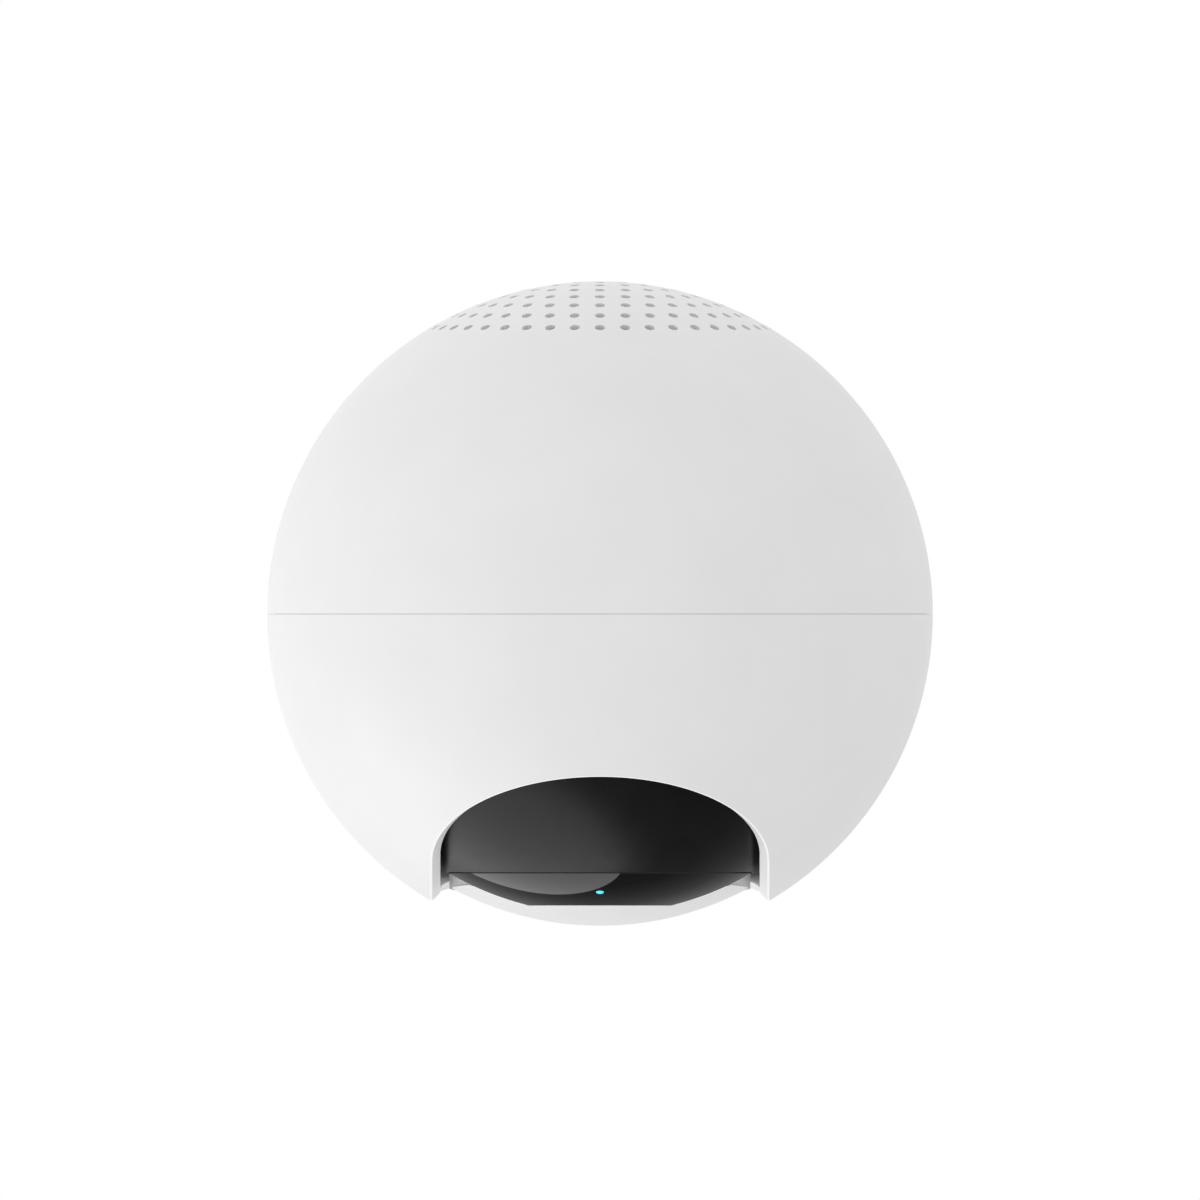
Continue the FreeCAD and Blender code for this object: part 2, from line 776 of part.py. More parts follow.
def dome_edge(radius, rise, level):
    """Profile corners of half an oval dome, from its edge to its top."""
    corners = []
    for index in range(DOME_STEPS):
        angle = 90 * index / DOME_STEPS
        corners.append(("(%s) * cos(%g)" % (radius, angle),
                        "%s + (%s) * sin(%g)" % (level, rise, angle), "line"))
    corners.append(("0", "%s + (%s)" % (level, rise), "line"))
    return corners


def rolled_ring(name, inner, outer, level, height, thick, waves):
    """A thin ring of rubber or cloth with one or more rounded waves."""
    steps = ROLL_STEPS * waves
    top = []
    bottom = []
    for index in range(steps + 1):
        share = index / steps
        across = "(%s) + ((%s) - (%s)) * %r" % (inner, outer, inner, share)
        turn = math.pi * share if waves == 1 else 2 * math.pi * waves * share
        up = "(%s) + (%s) * %r" % (level, height, math.sin(turn))
        bottom.append((across, up, "line"))
        top.insert(0, (across, "%s + (%s)" % (up, thick), "line"))
    return node(turned(name, bottom + top))


def driver_suspension():
    rolled_ring("surround", "roll_inner", "roll_outer", "flange_high",
                "roll_height", "roll_thick", 1)
    rolled_ring("spider", "spider_inner", "spider_outer", "spider_level",
                "spider_wave_height", "spider_thick", SPIDER_WAVES)


def microphones():
    for name, side in (("mic_board_left", -1), ("mic_board_right", 1)):
        near, far = "mic_board_in", "mic_board_out"
        limits = (near, far) if side > 0 else ("-%s" % far, "-%s" % near)
        centre = "%d * (mic_board_in + mic_board_out) * 0.5" % side
        board = block(name + "_plate", limits, ("-mic_board_half", "mic_board_half"),
                      ("baffle_high", "baffle_high + mic_board_thick"))
        can = block(name + "_can",
                    ("%s - mic_half_width" % centre, "%s + mic_half_width" % centre),
                    ("-mic_half_length", "mic_half_length"),
                    ("baffle_high + mic_board_thick", "mic_high"))
        port = rod(name + "_port", "mic_port_radius", "mic_high - mic_port_depth",
                   "mic_high + overrun", centre)
        node(cut(name, fuse(name + "_solid", [board, can]), port))


# -------------------------------------------------- rear board, inlet, button

def rear_controls():
    plate = block("io_plate", ("-io_board_half", "io_board_half"),
                  ("io_board_front", "io_board_rear"), ("io_board_low", "io_board_high"))
    holes = [rod("io_hole_" + label, "screw_radius + screw_play",
                 "io_board_front - overrun", "io_board_rear + overrun", side, "0",
                 "io_screw_level", TO_REAR)
             for label, side in (("left", "-io_screw_side"), ("right", "io_screw_side"))]
    node(cut("io_board", plate, group("io_holes", holes)))
    for name, side in (("io_screw_left", "-io_screw_side"),
                       ("io_screw_right", "io_screw_side")):
        node(screw(name, "io_screw_length"), side, "io_board_front", "io_screw_level",
             TO_FRONT)
    outside = inlet_outline("inlet_outside", "inlet_half_width", "inlet_half_height",
                            "io_board_rear", "inlet_out")
    inside = inlet_outline("inlet_inside", "inlet_half_width - inlet_wall",
                           "inlet_half_height - inlet_wall", "inlet_back",
                           "inlet_out + overrun")
    tongue = block("inlet_tongue", ("-inlet_tongue_half", "inlet_tongue_half"),
                   ("io_board_rear", "inlet_tongue_out"),
                   ("inlet_level - inlet_tongue_thick", "inlet_level + inlet_tongue_thick"))
    node(fuse("inlet_socket", [cut("inlet_case", outside, inside), tongue]))
    case = block("switch_case", ("-switch_half", "switch_half"),
                 ("io_board_rear", "switch_out"),
                 ("button_level - switch_half", "button_level + switch_half"))
    knob = rod("switch_knob", "switch_knob_radius", "io_board_rear",
               "switch_knob_out", "0", "0", "button_level", TO_REAR)
    node(fuse("button_switch", [case, knob]))
    stem = rod("button_stem", "button_radius", "button_in", "clearance_length", "0", "0",
               "button_level", TO_REAR)
    flush = overlap("button_flush", [stem, ball("button_ball", "shell_radius")])
    collar = rod("button_collar", "button_collar_radius", "button_in",
                 "button_collar_out", "0", "0", "button_level", TO_REAR)
    node(fuse("push_button", [flush, collar]))


# ------------------------------------------------------------------- pivots

def pivots():
    for side, turn in (("left", TO_LEFT), ("right", TO_RIGHT)):
        node(turned("pivot_pin_" + side, [
            ("pin_bore", "pin_in", "line"),
            ("pin_head_radius", "pin_in", "line"),
            ("pin_head_radius", "pin_head_out", "line"),
            ("pin_radius", "pin_head_out", "line"),
            ("pin_radius", "pin_out", "line"),
            ("pin_bore", "pin_out", "line")]), turn=turn)
        node(ring("friction_washer_" + side, "washer_bore", "washer_radius",
                  "washer_in", "washer_out"), turn=turn)
        node(turned("pivot_bush_" + side, [
            ("bush_bore", "bush_in", "line"),
            ("bush_flange_radius", "bush_in", "line"),
            ("bush_flange_radius", "bush_flange_out", "line"),
            ("bush_radius", "bush_flange_out", "line"),
            ("bush_radius", "bush_out", "line"),
            ("bush_bore", "bush_out", "line")]), turn=turn)


# --------------------------------------------------------------- inner ball

def core_cover():
    """Satin bowl of the inner ball with the two ears for the pivots."""
    bowl = turned("cover_bowl", [
        ("cable_hole_radius", "cover_floor_low", "line"),
        ("sqrt(core_radius^2 - cover_floor_low^2)", "cover_floor_low", "arc"),
        ("sqrt(core_radius^2 - cover_rim^2)", "cover_rim", "line"),
        ("sqrt(cover_inner^2 - cover_rim^2)", "cover_rim", "arc"),
        ("sqrt(cover_inner^2 - cover_floor_high^2)", "cover_floor_high", "line"),
        ("cable_hole_radius", "cover_floor_high", "line")])
    skin = cut("ear_skin", ball("ear_outside", "core_radius"),
               ball("ear_inside", "cover_inner"))
    band = block("ear_band", ("-shell_radius", "shell_radius"),
                 ("-ear_half_width", "ear_half_width"), ("cover_rim - overrun", "ear_top"))
    ears = overlap("cover_ears", [skin, band])
    posts = overlap("cover_posts", [
        group("post_rods", post_rods("cover_post", "post_radius", "cover_floor_low",
                                     "board_low")),
        ball("post_limit", "post_inner_ball")])
    drills = post_rods("post_drill", "screw_radius + screw_play",
                       "board_high - board_screw_length - screw_tip_room",
                       "board_low + overrun")
    drills.append(rod("ear_drill", "bush_radius + press_play", "-shell_radius", "shell_radius",
                      turn=TO_RIGHT))
    drills += rods_around("cap_screw_hole", CAP_SCREWS, "cap_screw_turn",
                          "cap_screw_ring", "screw_radius + screw_play",
                          "cover_floor_low - overrun", "cover_floor_high + overrun")
    solid = fuse("cover_solid", [bowl, ears, posts])
    node(cut("core_cover", solid, group("cover_cuts", drills)))


def post_rods(name, radius, low, high):
    """Four rods at the corners of the main board."""
    rods = []
    for index, angle in enumerate(POST_ANGLES):
        x, y = around("post_ring", angle)
        rods.append(rod("%s_%d" % (name, index + 1), radius, low, high, x, y))
    return rods


def core_cap():
    """White cap below the cover, cut away in front for the window."""
    dish = turned("cap_dish", [
        ("0", "-core_radius", "arc"),
        ("sqrt(core_radius^2 - cap_front_level^2)", "cap_front_level", "line"),
        ("0", "cap_front_level", "line")])
    above = block("cap_above", ("-shell_radius", "shell_radius"),
                  ("-shell_radius * cos(cap_tilt)", "2 * shell_radius"),
                  ("cap_edge_level - shell_radius * sin(cap_tilt)", "shell_radius"))
    lean(above, "cap_tilt")
    neck = rod("cap_neck", "neck_radius", "cap_edge_level - overrun", "neck_top")
    solid = fuse("cap_solid", [cut("cap_trimmed", dish, above), neck])
    notch = block("cap_notch", ("-shell_radius", "shell_radius"),
                  ("-shell_radius", "-front_cut"), ("window_low", "neck_top + overrun"))
    well = rod("cap_well", "weight_radius + weight_play", "weight_low - weight_play",
               "neck_top + overrun")
    recess = rod("cap_foot_recess", "foot_radius", "foot_bottom - overrun", "foot_top")
    pilots = rods_around("cap_pilot", CAP_SCREWS, "cap_screw_turn", "cap_screw_ring",
                         "screw_radius + screw_play",
                         "cover_floor_high - cap_screw_length - screw_tip_room",
                         "neck_top + overrun")
    node(cut("core_cap", solid, group("cap_cuts", [notch, well, recess] + pilots)))
    node(turned("counterweight", [
        ("0", "weight_low", "line"),
        ("weight_radius", "weight_low", "line"),
        ("weight_radius", "weight_high", "line"),
        ("0", "weight_high", "line")]))
    node(turned("foot_pad", [
        ("0", "foot_bottom", "line"),
        ("foot_radius - foot_chamfer", "foot_bottom", "line"),
        ("foot_radius", "foot_bottom + foot_chamfer", "line"),
        ("foot_radius", "foot_top", "line"),
        ("0", "foot_top", "line")]))
    for index in range(CAP_SCREWS):
        x, y = around("cap_screw_ring", turn_of("cap_screw_turn", index, CAP_SCREWS))
        node(screw("cap_screw_%d" % (index + 1), "cap_screw_length"),
             x, y, "cover_floor_high")


def front_window():
    """Gloss window flush with the inner ball, with what sits behind it."""
    skin = cut("window_skin", ball("window_outside", "core_radius"),
               ball("window_inside", "window_inner"))
    limits = block("window_limits", ("-shell_radius", "shell_radius"),
                   ("-shell_radius", "-front_cut - glass_gap"),
                   ("window_low + glass_gap", "window_high"))
    slab = block("window_wall_slab", ("-shell_radius", "shell_radius"),
                 ("-front_cut - glass_gap - window_wall", "-front_cut - glass_gap"),
                 ("window_low + glass_gap", "window_high"))
    wall = overlap("window_wall_plate", [slab, ball("window_wall_limit",
                                                    "window_wall_ball")])
    pane = fuse("window_solid", [overlap("window_pane", [skin, limits]), wall])
    hole = turned("light_hole", [
        ("0", "window_inner - overrun", "line"),
        ("light_hole_radius", "window_inner - overrun", "line"),
        ("light_hole_radius", "core_radius + overrun", "line"),
        ("0", "core_radius + overrun", "line")])
    lean(hole, "180 - light_tilt")
    node(cut("sensor_window", pane, hole))
    pipe = turned("light_pipe", [
        ("0", "light_in", "line"),
        ("light_radius", "light_in", "line"),
        ("light_radius", "light_out", "line"),
        ("0", "light_out", "line")])
    node(pipe)
    lean(pipe, "180 - light_tilt")
    board = block("light_board_plate", ("-light_board_half", "light_board_half"),
                  ("light_board_front", "light_board_rear"),
                  ("light_board_low", "light_board_high"))
    lamp = block("lamp", ("-lamp_half", "lamp_half"), ("lamp_front", "lamp_rear"),
                 ("lamp_low", "light_board_low"))
    node(fuse("light_board", [board, lamp]))
    body = block("sensor_body", ("sensor_left", "sensor_right"),
                 ("sensor_front", "sensor_rear"), ("sensor_low", "light_board_low"))
    eye = rod("sensor_eye", "sensor_eye_radius", "-sensor_front - sensor_eye_depth",
              "-sensor_front + overrun", "(sensor_left + sensor_right) * 0.5", "0",
              "(sensor_low + light_board_low) * 0.5", TO_FRONT)
    node(cut("presence_sensor", body, eye))


def electronics():
    disc = rod("board_disc", "board_radius", "board_low", "board_high")
    holes = post_rods("board_hole", "screw_radius + screw_play", "board_low - overrun",
                      "board_high + overrun")
    chip = block("board_chip", ("chip_left", "chip_left + chip_side"),
                 ("chip_front", "chip_front + chip_side"), ("board_high", "chip_high"))
    node(cut("main_board", fuse("board_solid", [disc, chip]), group("board_holes", holes)))
    for index, angle in enumerate(POST_ANGLES):
        x, y = around("post_ring", angle)
        node(screw("board_screw_%d" % (index + 1), "board_screw_length"),
             x, y, "board_high")
    outside = block("shield_outside", ("-shield_half_length", "shield_half_length"),
                    ("shield_shift - shield_half_width", "shield_shift + shield_half_width"),
                    ("board_high", "shield_high"))
    inside = block("shield_inside",
                   ("-shield_half_length + shield_wall", "shield_half_length - shield_wall"),
                   ("shield_shift - shield_half_width + shield_wall",
                    "shield_shift + shield_half_width - shield_wall"),
                   ("board_high - overrun", "shield_high - shield_wall"))
    node(cut("shield_can", outside, inside))
    cell = block("battery_cell", ("-battery_half_length", "battery_half_length"),
                 ("-battery_half_width", "battery_half_width"),
                 ("battery_low", "battery_high"))
    cap = block("battery_cap",
                ("battery_half_length", "battery_half_length + battery_cap_length"),
                ("-battery_cap_half", "battery_cap_half"),
                ("battery_low + battery_round", "battery_high - battery_round"))
    node(fuse("battery", [cell, cap]))
    foam = block("battery_foam", ("-battery_pad_half_length", "battery_pad_half_length"),
                 ("-battery_pad_half_width", "battery_pad_half_width"),
                 ("cover_floor_high", "battery_low"))
    passage = rod("battery_pad_hole", "cable_hole_radius", "cover_floor_high - overrun",
                  "battery_low + overrun")
    node(cut("battery_pad", foam, passage))


def harness():
    """Wire bundle from the main board up to and into the left hollow pin."""
    radius = size("harness_radius")
    bend = size("harness_bend")
    foot = FreeCAD.Vector(-size("harness_foot"), 0, size("harness_start"))
    elbow = FreeCAD.Vector(-size("harness_foot"), 0, -bend)
    middle = FreeCAD.Vector(-size("harness_foot") - bend * (1 - math.sqrt(0.5)), 0,
                            -bend * (1 - math.sqrt(0.5)))
    level = FreeCAD.Vector(-size("harness_foot") - bend, 0, 0)
    tip = FreeCAD.Vector(-size("harness_tip"), 0, 0)
    path = Part.Wire([Part.LineSegment(foot, elbow).toShape(),
                      Part.Arc(elbow, middle, level).toShape(),
                      Part.LineSegment(level, tip).toShape()])
    section = Part.Wire(Part.makeCircle(radius, foot, AROUND_Z))
    piece = doc.addObject("Part::Feature", "harness")
    piece.Shape = path.makePipeShell([section], True, True)
    return node(piece)


upper_shell()
lower_shell()
grille_mesh()
baffle()
driver_basket()
driver_motor()
driver_moving_parts()
driver_suspension()
microphones()
rear_controls()
pivots()
core_cover()
core_cap()
front_window()
electronics()
harness()
doc.recompute()

os.makedirs("parts", exist_ok=True)
problems = []
for item in doc.Objects:
    if "Invalid" in item.State or "Error" in item.State:
        problems.append("%s is %s" % (item.Name, item.State))
for piece in nodes:
    shape = piece.Shape
    if shape.isNull() or not shape.isValid():
        problems.append("%s has no valid shape" % piece.Label)
        continue
    box = shape.BoundBox
    print("%-22s solids %d volume %9.1f  x %7.2f %7.2f  y %7.2f %7.2f  z %7.2f %7.2f" % (
        piece.Label, len(shape.Solids), shape.Volume, box.XMin, box.XMax,
        box.YMin, box.YMax, box.ZMin, box.ZMax))
    shape.exportStep("parts/%s.step" % piece.Label)
print("%d pieces" % len(nodes))
for problem in problems:
    print("PROBLEM", problem)
if problems:
    raise SystemExit(1)
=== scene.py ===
import json
import math

import bpy
import numpy as np
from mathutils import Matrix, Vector, geometry, kdtree


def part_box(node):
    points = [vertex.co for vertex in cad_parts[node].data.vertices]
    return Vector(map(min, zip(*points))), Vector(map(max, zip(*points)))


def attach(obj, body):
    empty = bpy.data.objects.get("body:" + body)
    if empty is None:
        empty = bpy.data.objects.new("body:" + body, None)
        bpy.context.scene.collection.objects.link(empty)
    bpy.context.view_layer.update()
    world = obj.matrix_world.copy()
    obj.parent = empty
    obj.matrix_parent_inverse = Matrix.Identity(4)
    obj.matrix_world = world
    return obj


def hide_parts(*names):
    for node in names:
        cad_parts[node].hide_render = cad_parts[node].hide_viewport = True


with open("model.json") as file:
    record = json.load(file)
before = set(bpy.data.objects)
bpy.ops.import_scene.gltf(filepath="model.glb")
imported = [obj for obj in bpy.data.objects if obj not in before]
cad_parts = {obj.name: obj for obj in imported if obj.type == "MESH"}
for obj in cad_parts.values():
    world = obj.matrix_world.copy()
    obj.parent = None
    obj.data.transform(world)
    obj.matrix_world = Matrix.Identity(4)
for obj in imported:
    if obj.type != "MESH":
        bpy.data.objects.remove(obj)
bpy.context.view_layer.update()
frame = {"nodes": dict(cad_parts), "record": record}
nodes = frame["nodes"]

# ------------------------------------------------------------------- sizes
# Millimetres about the centre of the ball, as in the CAD; MM turns them into
# the metres of the frame.
MM = 0.001
SHELL = (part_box("upper_shell")[1].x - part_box("upper_shell")[0].x) / 2 / MM
CENTRE = Vector((0, 0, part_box("upper_shell")[1].z - SHELL * MM))
SHELL_INNER = SHELL - 2.0
CORE = 46.8
CORE_INNER = 45.0
SEAM_HALF = 0.08
SEAM_ROUND = 0.06
SEAM_DEPTH = 0.12
SEAM_LIP = 0.06
SEAM_SIDES = 480
SHELL_SPACING = 1.1
UPPER_INNER_SPACING = 1.8
LOWER_INNER_SPACING = 1.6
TONGUE_OUTER = 49.0
TONGUE_RISE = 1.5
TONGUE_PLAY = 0.1

# sound holes
HOLE_RADIUS = 0.75
HOLE_STEP = math.radians(4.35)
HOLE_RINGS = 7
HOLES_PER_RING = 6
HOLE_ROUND = 0.08
HOLE_ROUND_STEPS = 3
HOLE_SIDES = 40

# opening of the outer ball
OPENING_RADIUS = 25.3
OPENING_LEVEL = 43.12
OPENING_FLARE = 1.0185
OPENING_FRONT = math.radians(30.3)
OPENING_REAR = math.radians(-7.5)
OPENING_ROUND = 0.25
OPENING_STEP = math.radians(1.5)
OPENING_ROUND_STEPS = 6

# inner ball: window, cover, cap, foot and light
FRONT_CUT = 12.66
WINDOW_LOW = -43.74
WINDOW_HIGH = -38.85
WINDOW_GAP = 0.04
WINDOW_INNER = 45.4
WINDOW_SPACING = 0.5
COVER_LOW = -38.75
COVER_RIM = -8.0
COVER_ROUND = 0.12
COVER_FLOOR = COVER_LOW + 1.45
COVER_SIDES = 360
COVER_STEPS = 48
COVER_INNER_STEPS = 32
CABLE_HOLE = 3.0
EAR_HALF = 7.0
EAR_SINK = 0.5
EAR_STEPS = 12
CAP_EDGE = -41.2
CAP_RISE = 0.043
PLATE_INSET = 0.3
PLATE_THICK = 0.03
PLATE_STEPS = 200
RECESS_WALL = 22.6
CREASE_INSET = 0.2
CREASE_DEEP = 0.2
CAP_NECK = 16.5
CAP_ROUND = 0.16
CAP_SPACING = 0.7
CAP_TOP_SIDES = 240
CAP_RIM_STEPS = 260
CAP_RIM_GUESS = 22.0
CAP_RIM_ROUNDS = 20
NOTCH_STEP = 0.35
NOTCH_LEAST_STEPS = 8
FOOT_RADIUS = 5.0
FOOT_GAP = 0.03
FOOT_TIP = 0.9999999
FOOT_LEVEL = -45.9
FOOT_SIDES = 96
FOOT_STEPS = 24
WELL_RADIUS = 10.6
WELL_LEVEL = -44.3
LIGHT_TILT = math.radians(26.6)
LIGHT_HOLE = 0.68
LENS_RADIUS = 0.59
LENS_DOME = 0.12
LENS_SUNK = 0.05
LENS_SIDES = 48
LENS_STEPS = 6

# rear
BUTTON_LEVEL = 17.0
BUTTON_RADIUS = 2.66
INLET_LEVEL = 6.0
INLET_HALF_WIDTH = 4.6
INLET_HALF_HEIGHT = 1.7
REAR_CUTS = ((BUTTON_RADIUS, BUTTON_RADIUS, BUTTON_LEVEL),
             (INLET_HALF_WIDTH, INLET_HALF_HEIGHT, INLET_LEVEL))
REAR_ROUND = 0.12
REAR_SIDES = 64

# shared by the helpers: steps round an edge, the small hole that a disc keeps
# at its axis, and how near inner points may come to a patch's border
EDGE_STEPS = 5
AXIS_GAP = 0.01
BORDER_SHARE = 0.45
MAP_TOLERANCE = 1e-9
LEVEL_TOLERANCE = 1e-6

# ------------------------------------------------------- lamps and camera
# Metres in the frame, radiances as shares of white.
FLOOR_REACH = 4.0
SHEEN_TARGET = CENTRE + Vector((0.0, -20.0, -41.0)) * MM
SHEEN_DIRECTION = (-0.50, 0.175, -0.848)
SHEEN_DISTANCE = 0.5
SHEEN_HALF_ANGLE = math.radians(36)
SHEEN_RADIANCE = 1.15
FILL_PLACE = (-0.4, -0.05, -0.4)
FILL_SIZE = 0.8
FILL_RADIANCE = 0.4
UNDERLIGHT_PLACE = (0.0, 0.0, -0.5)
UNDERLIGHT_SIZE = 3.0
UNDERLIGHT_RADIANCE = 0.6
WORLD_LEAN = (-0.14, 0.06, 0.0)
WORLD_LEVELS = ((-1.0, 0.05), (-0.05, 1.0), (-0.85, 0.07), (-0.68, 0.25), (-0.3, 0.85))
CAMERA_SPAN = 0.18025
CAMERA_DISTANCE = 1.0
CAMERA_LIFT = 0.00213

# ------------------------------------------------------------- mesh helpers


class Skin:
    """Gathers points with exact normals into one mesh."""

    def __init__(self):
        self.points = []
        self.normals = []
        self.faces = []
        # per point, 1 where a rounded edge gets the painted highlight, else 0
        self.edge_highlight_shares = []

    # rim 1.0 marks points that get the painted edge highlight
    def add(self, points, normals, faces, rim=0.0):
        start = len(self.points)
        self.edge_highlight_shares.extend([rim] * len(points))
        self.points.extend(tuple(p) for p in points)
        self.normals.extend(tuple(n) for n in normals)
        self.faces.extend(tuple(start + i for i in face) for face in faces)

    def faces_of(self, outline, normal):
        """One flat face with many corners."""
        self.add(outline, [normal] * len(outline), [tuple(range(len(outline)))])

    def add_rows(self, rows, normals, closed=True, rim=0.0):
        """A grid: rows of points, joined along and, when closed, around."""
        rows = np.asarray(rows, float)
        normals = np.asarray(normals, float)
        count = rows.shape[1]
        faces = []
        for r in range(rows.shape[0] - 1):
            for c in range(count if closed else count - 1):
                following = (c + 1) % count
                faces.append((r * count + c, r * count + following,
                              (r + 1) * count + following, (r + 1) * count + c))
        self.add(rows.reshape(-1, 3), normals.reshape(-1, 3), faces, rim)

    def build(self, name, slot_name, body, *stands_for):
        """Makes the Blender object, in metres, on its CAD body."""
        points = np.array(self.points) * MM + np.array(CENTRE)
        normals = np.array(self.normals)
        normals /= np.linalg.norm(normals, axis=1)[:, None]
        faces = [turned_outwards(face, points, normals) for face in self.faces]
        mesh = bpy.data.meshes.new(name)
        mesh.from_pydata(points.tolist(), [], faces)
        mesh.polygons.foreach_set("use_smooth", [True] * len(mesh.polygons))
        mesh.normals_split_custom_set_from_vertices(normals.tolist())
        # the rim attribute tells the white finish where to paint the edge highlight
        mesh.attributes.new("rim", "FLOAT", "POINT").data.foreach_set("value", self.edge_highlight_shares)
        piece = bpy.data.objects.new(name, mesh)
        bpy.context.scene.collection.objects.link(piece)
        mesh.materials.append(material(slot_name))
        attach(piece, body)
        if stands_for:
            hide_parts(*stands_for)
        return piece


def turned_outwards(face, points, normals):
    """The face with its corners in the order that faces its normals."""
    corners = points[list(face)]
    following = np.roll(corners, -1, axis=0)
    facing = np.cross(corners - corners[0], following - corners[0]).sum(0)
    if facing @ normals[list(face)].sum(0) < 0:
        return tuple(reversed(face))
    return face


def unit(vectors):
    vectors = np.asarray(vectors, float)
    return vectors / np.linalg.norm(vectors, axis=-1, keepdims=True)


def lattice(radius, spacing):
    """Evenly spread points on a ball."""
    count = int(4 * math.pi * radius * radius / (spacing * spacing))
    index = np.arange(count) + 0.5
    height = 1 - 2 * index / count
    turn = index * math.pi * (3 - math.sqrt(5))
    across = np.sqrt(1 - height * height)
    return radius * np.stack((across * np.cos(turn), across * np.sin(turn), height), 1)


def ball_patch(skin, radius, loops, inside, spacing, pole, outward=1):
    """Fills part of a ball between loops of points lying on it.

    inside says which directions belong to the patch, and pole, +1 or -1, is
    the end of the Z axis that the flat map of the patch is spread about.
    """
    border = np.concatenate([np.asarray(loop, float) for loop in loops])
    near = kdtree.KDTree(len(border))
    for number, point in enumerate(border):
        near.insert(point, number)
    near.balance()
    cloud = lattice(radius, spacing)
    cloud = cloud[inside(cloud / radius)]
    kept = [p for p in cloud if near.find(p)[2] > spacing * BORDER_SHARE]
    points = np.concatenate((border, np.array(kept).reshape(-1, 3)))
    directions = points / radius
    spread = 1 / (1 + pole * directions[:, 2])
    flat = [Vector((d[0] * s, d[1] * s)) for d, s in zip(directions, spread)]
    edges = []
    start = 0
    for loop in loops:
        count = len(loop)
        edges += [(start + i, start + (i + 1) % count) for i in range(count)]
        start += count
    result = geometry.delaunay_2d_cdt(flat, edges, [], 0, MAP_TOLERANCE)
    origin = [ids[0] for ids in result[3]]
    faces = [tuple(origin[i] for i in face) for face in result[2]]
    middles = unit(points[np.array(faces)].mean(axis=1))
    keep = inside(middles)
    faces = [face for face, wanted in zip(faces, keep) if wanted]
    skin.add(points, outward * directions, faces)


def edge_band(skin, corner, along, into, length, radius, steps=EDGE_STEPS):
    """Rounds the edge between the ball and a wall.

    corner holds the points of the sharp edge, along the directions that run
    over the ball away from it and into those that run down the wall. Returns
    the rounded edge's last row, on the wall, and the wall's normals.
    """
    corner = np.asarray(corner, float)
    along = unit(along)
    into = unit(into)
    face_normal = -unit(into - (into * along).sum(1, keepdims=True) * along)
    wall_normal = -unit(along - (along * into).sum(1, keepdims=True) * into)
    half = np.arccos(np.clip((along * into).sum(1), -1, 1)) / 2
    bulge = (length * np.tan(half))[:, None]
    middle = unit(along + into)
    centre = corner + middle * (length / np.cos(half))[:, None]
    rows = []
    normals = []
    for step in range(steps + 1):
        share = step / steps
        normal = unit(face_normal * math.cos(share * math.pi / 2)
                      + wall_normal * math.sin(share * math.pi / 2))
        row = centre + normal * bulge
        if step == 0:
            row = unit(row) * radius
        rows.append(row)
        normals.append(normal)
    skin.add_rows(rows, normals)
    return rows[0], rows[-1], wall_normal


def circle_about(axis, radius, ball, count):
    """Points of a circle on a ball, and their directions away from its axis."""
    axis = unit(axis)
    side = unit(np.cross(axis, (0.0, 0.0, 1.0) if abs(axis[2]) < 0.9 else (0.0, 1.0, 0.0)))
    other = np.cross(axis, side)
    turn = np.arange(count) * 2 * math.pi / count
    away = np.cos(turn)[:, None] * side + np.sin(turn)[:, None] * other
    return axis * math.sqrt(ball ** 2 - radius ** 2) + away * radius, away


def level_ring(radius, ball, count, end):
    """A level circle on the lower, -1, or the upper, +1, half of a ball."""
    return circle_about((0, 0, end), radius, ball, count)[0]


def lathe(skin, outline, sides=COVER_SIDES):
    """Turns (radius, height, normal radius, normal height) about the Z axis."""
    turn = np.arange(sides) * 2 * math.pi / sides
    across = np.stack((np.cos(turn), np.sin(turn), np.zeros(sides)), 1)
    up = np.array((0.0, 0.0, 1.0))
    rows = [across * r + up * z for r, z, nr, nz in outline]
    normals = [across * nr + up * nz for r, z, nr, nz in outline]
    skin.add_rows(rows, normals)


def ball_arc(radius, low, high, steps, outward=1):
    """A lathe outline along a ball between two heights."""
    first = math.asin(low / radius)
    last = math.asin(high / radius)
    outline = []
    for step in range(steps + 1):
        angle = first + (last - first) * step / steps
        outline.append((radius * math.cos(angle), radius * math.sin(angle),
                        outward * math.cos(angle), outward * math.sin(angle)))
    return outline


def round_arc(r, z, size, first, last, steps=EDGE_STEPS):
    """A lathe outline round a small rounded edge, between two angles in degrees."""
    outline = []
    for step in range(steps + 1):
        angle = math.radians(first + (last - first) * step / steps)
        outline.append((r + size * math.cos(angle), z + size * math.sin(angle),
                        math.cos(angle), math.sin(angle)))
    return outline


def flat_run(start, end, normal):
    """A straight lathe outline between two points, with one normal."""
    return [(start[0], start[1], normal[0], normal[1]),
            (end[0], end[1], normal[0], normal[1])]


# ---------------------------------------------------------------- materials

MATERIALS = {}
GRAIN_DEPTH = 0.00002
WEAR_FINENESS = 5
THREAD_DEPTH = 0.0001
# lighter white painted on rounded edges as a highlight
PAINTED_EDGE_HIGHLIGHT = (0.985, 0.985, 0.985, 1)


def new_material(name):
    made = bpy.data.materials.new(name)
    made.use_nodes = True
    tree = made.node_tree
    shader = tree.nodes["Principled BSDF"]
    place = tree.nodes.new("ShaderNodeTexCoord").outputs["Object"]
    return made, tree, shader, place


def noise(tree, place, scale, detail=4.0, roughness=0.6, distortion=0.0):
    texture = tree.nodes.new("ShaderNodeTexNoise")
    texture.inputs["Scale"].default_value = scale
    texture.inputs["Detail"].default_value = detail
    texture.inputs["Roughness"].default_value = roughness
    texture.inputs["Distortion"].default_value = distortion
    tree.links.new(place, texture.inputs["Vector"])
    return texture.outputs["Fac"]


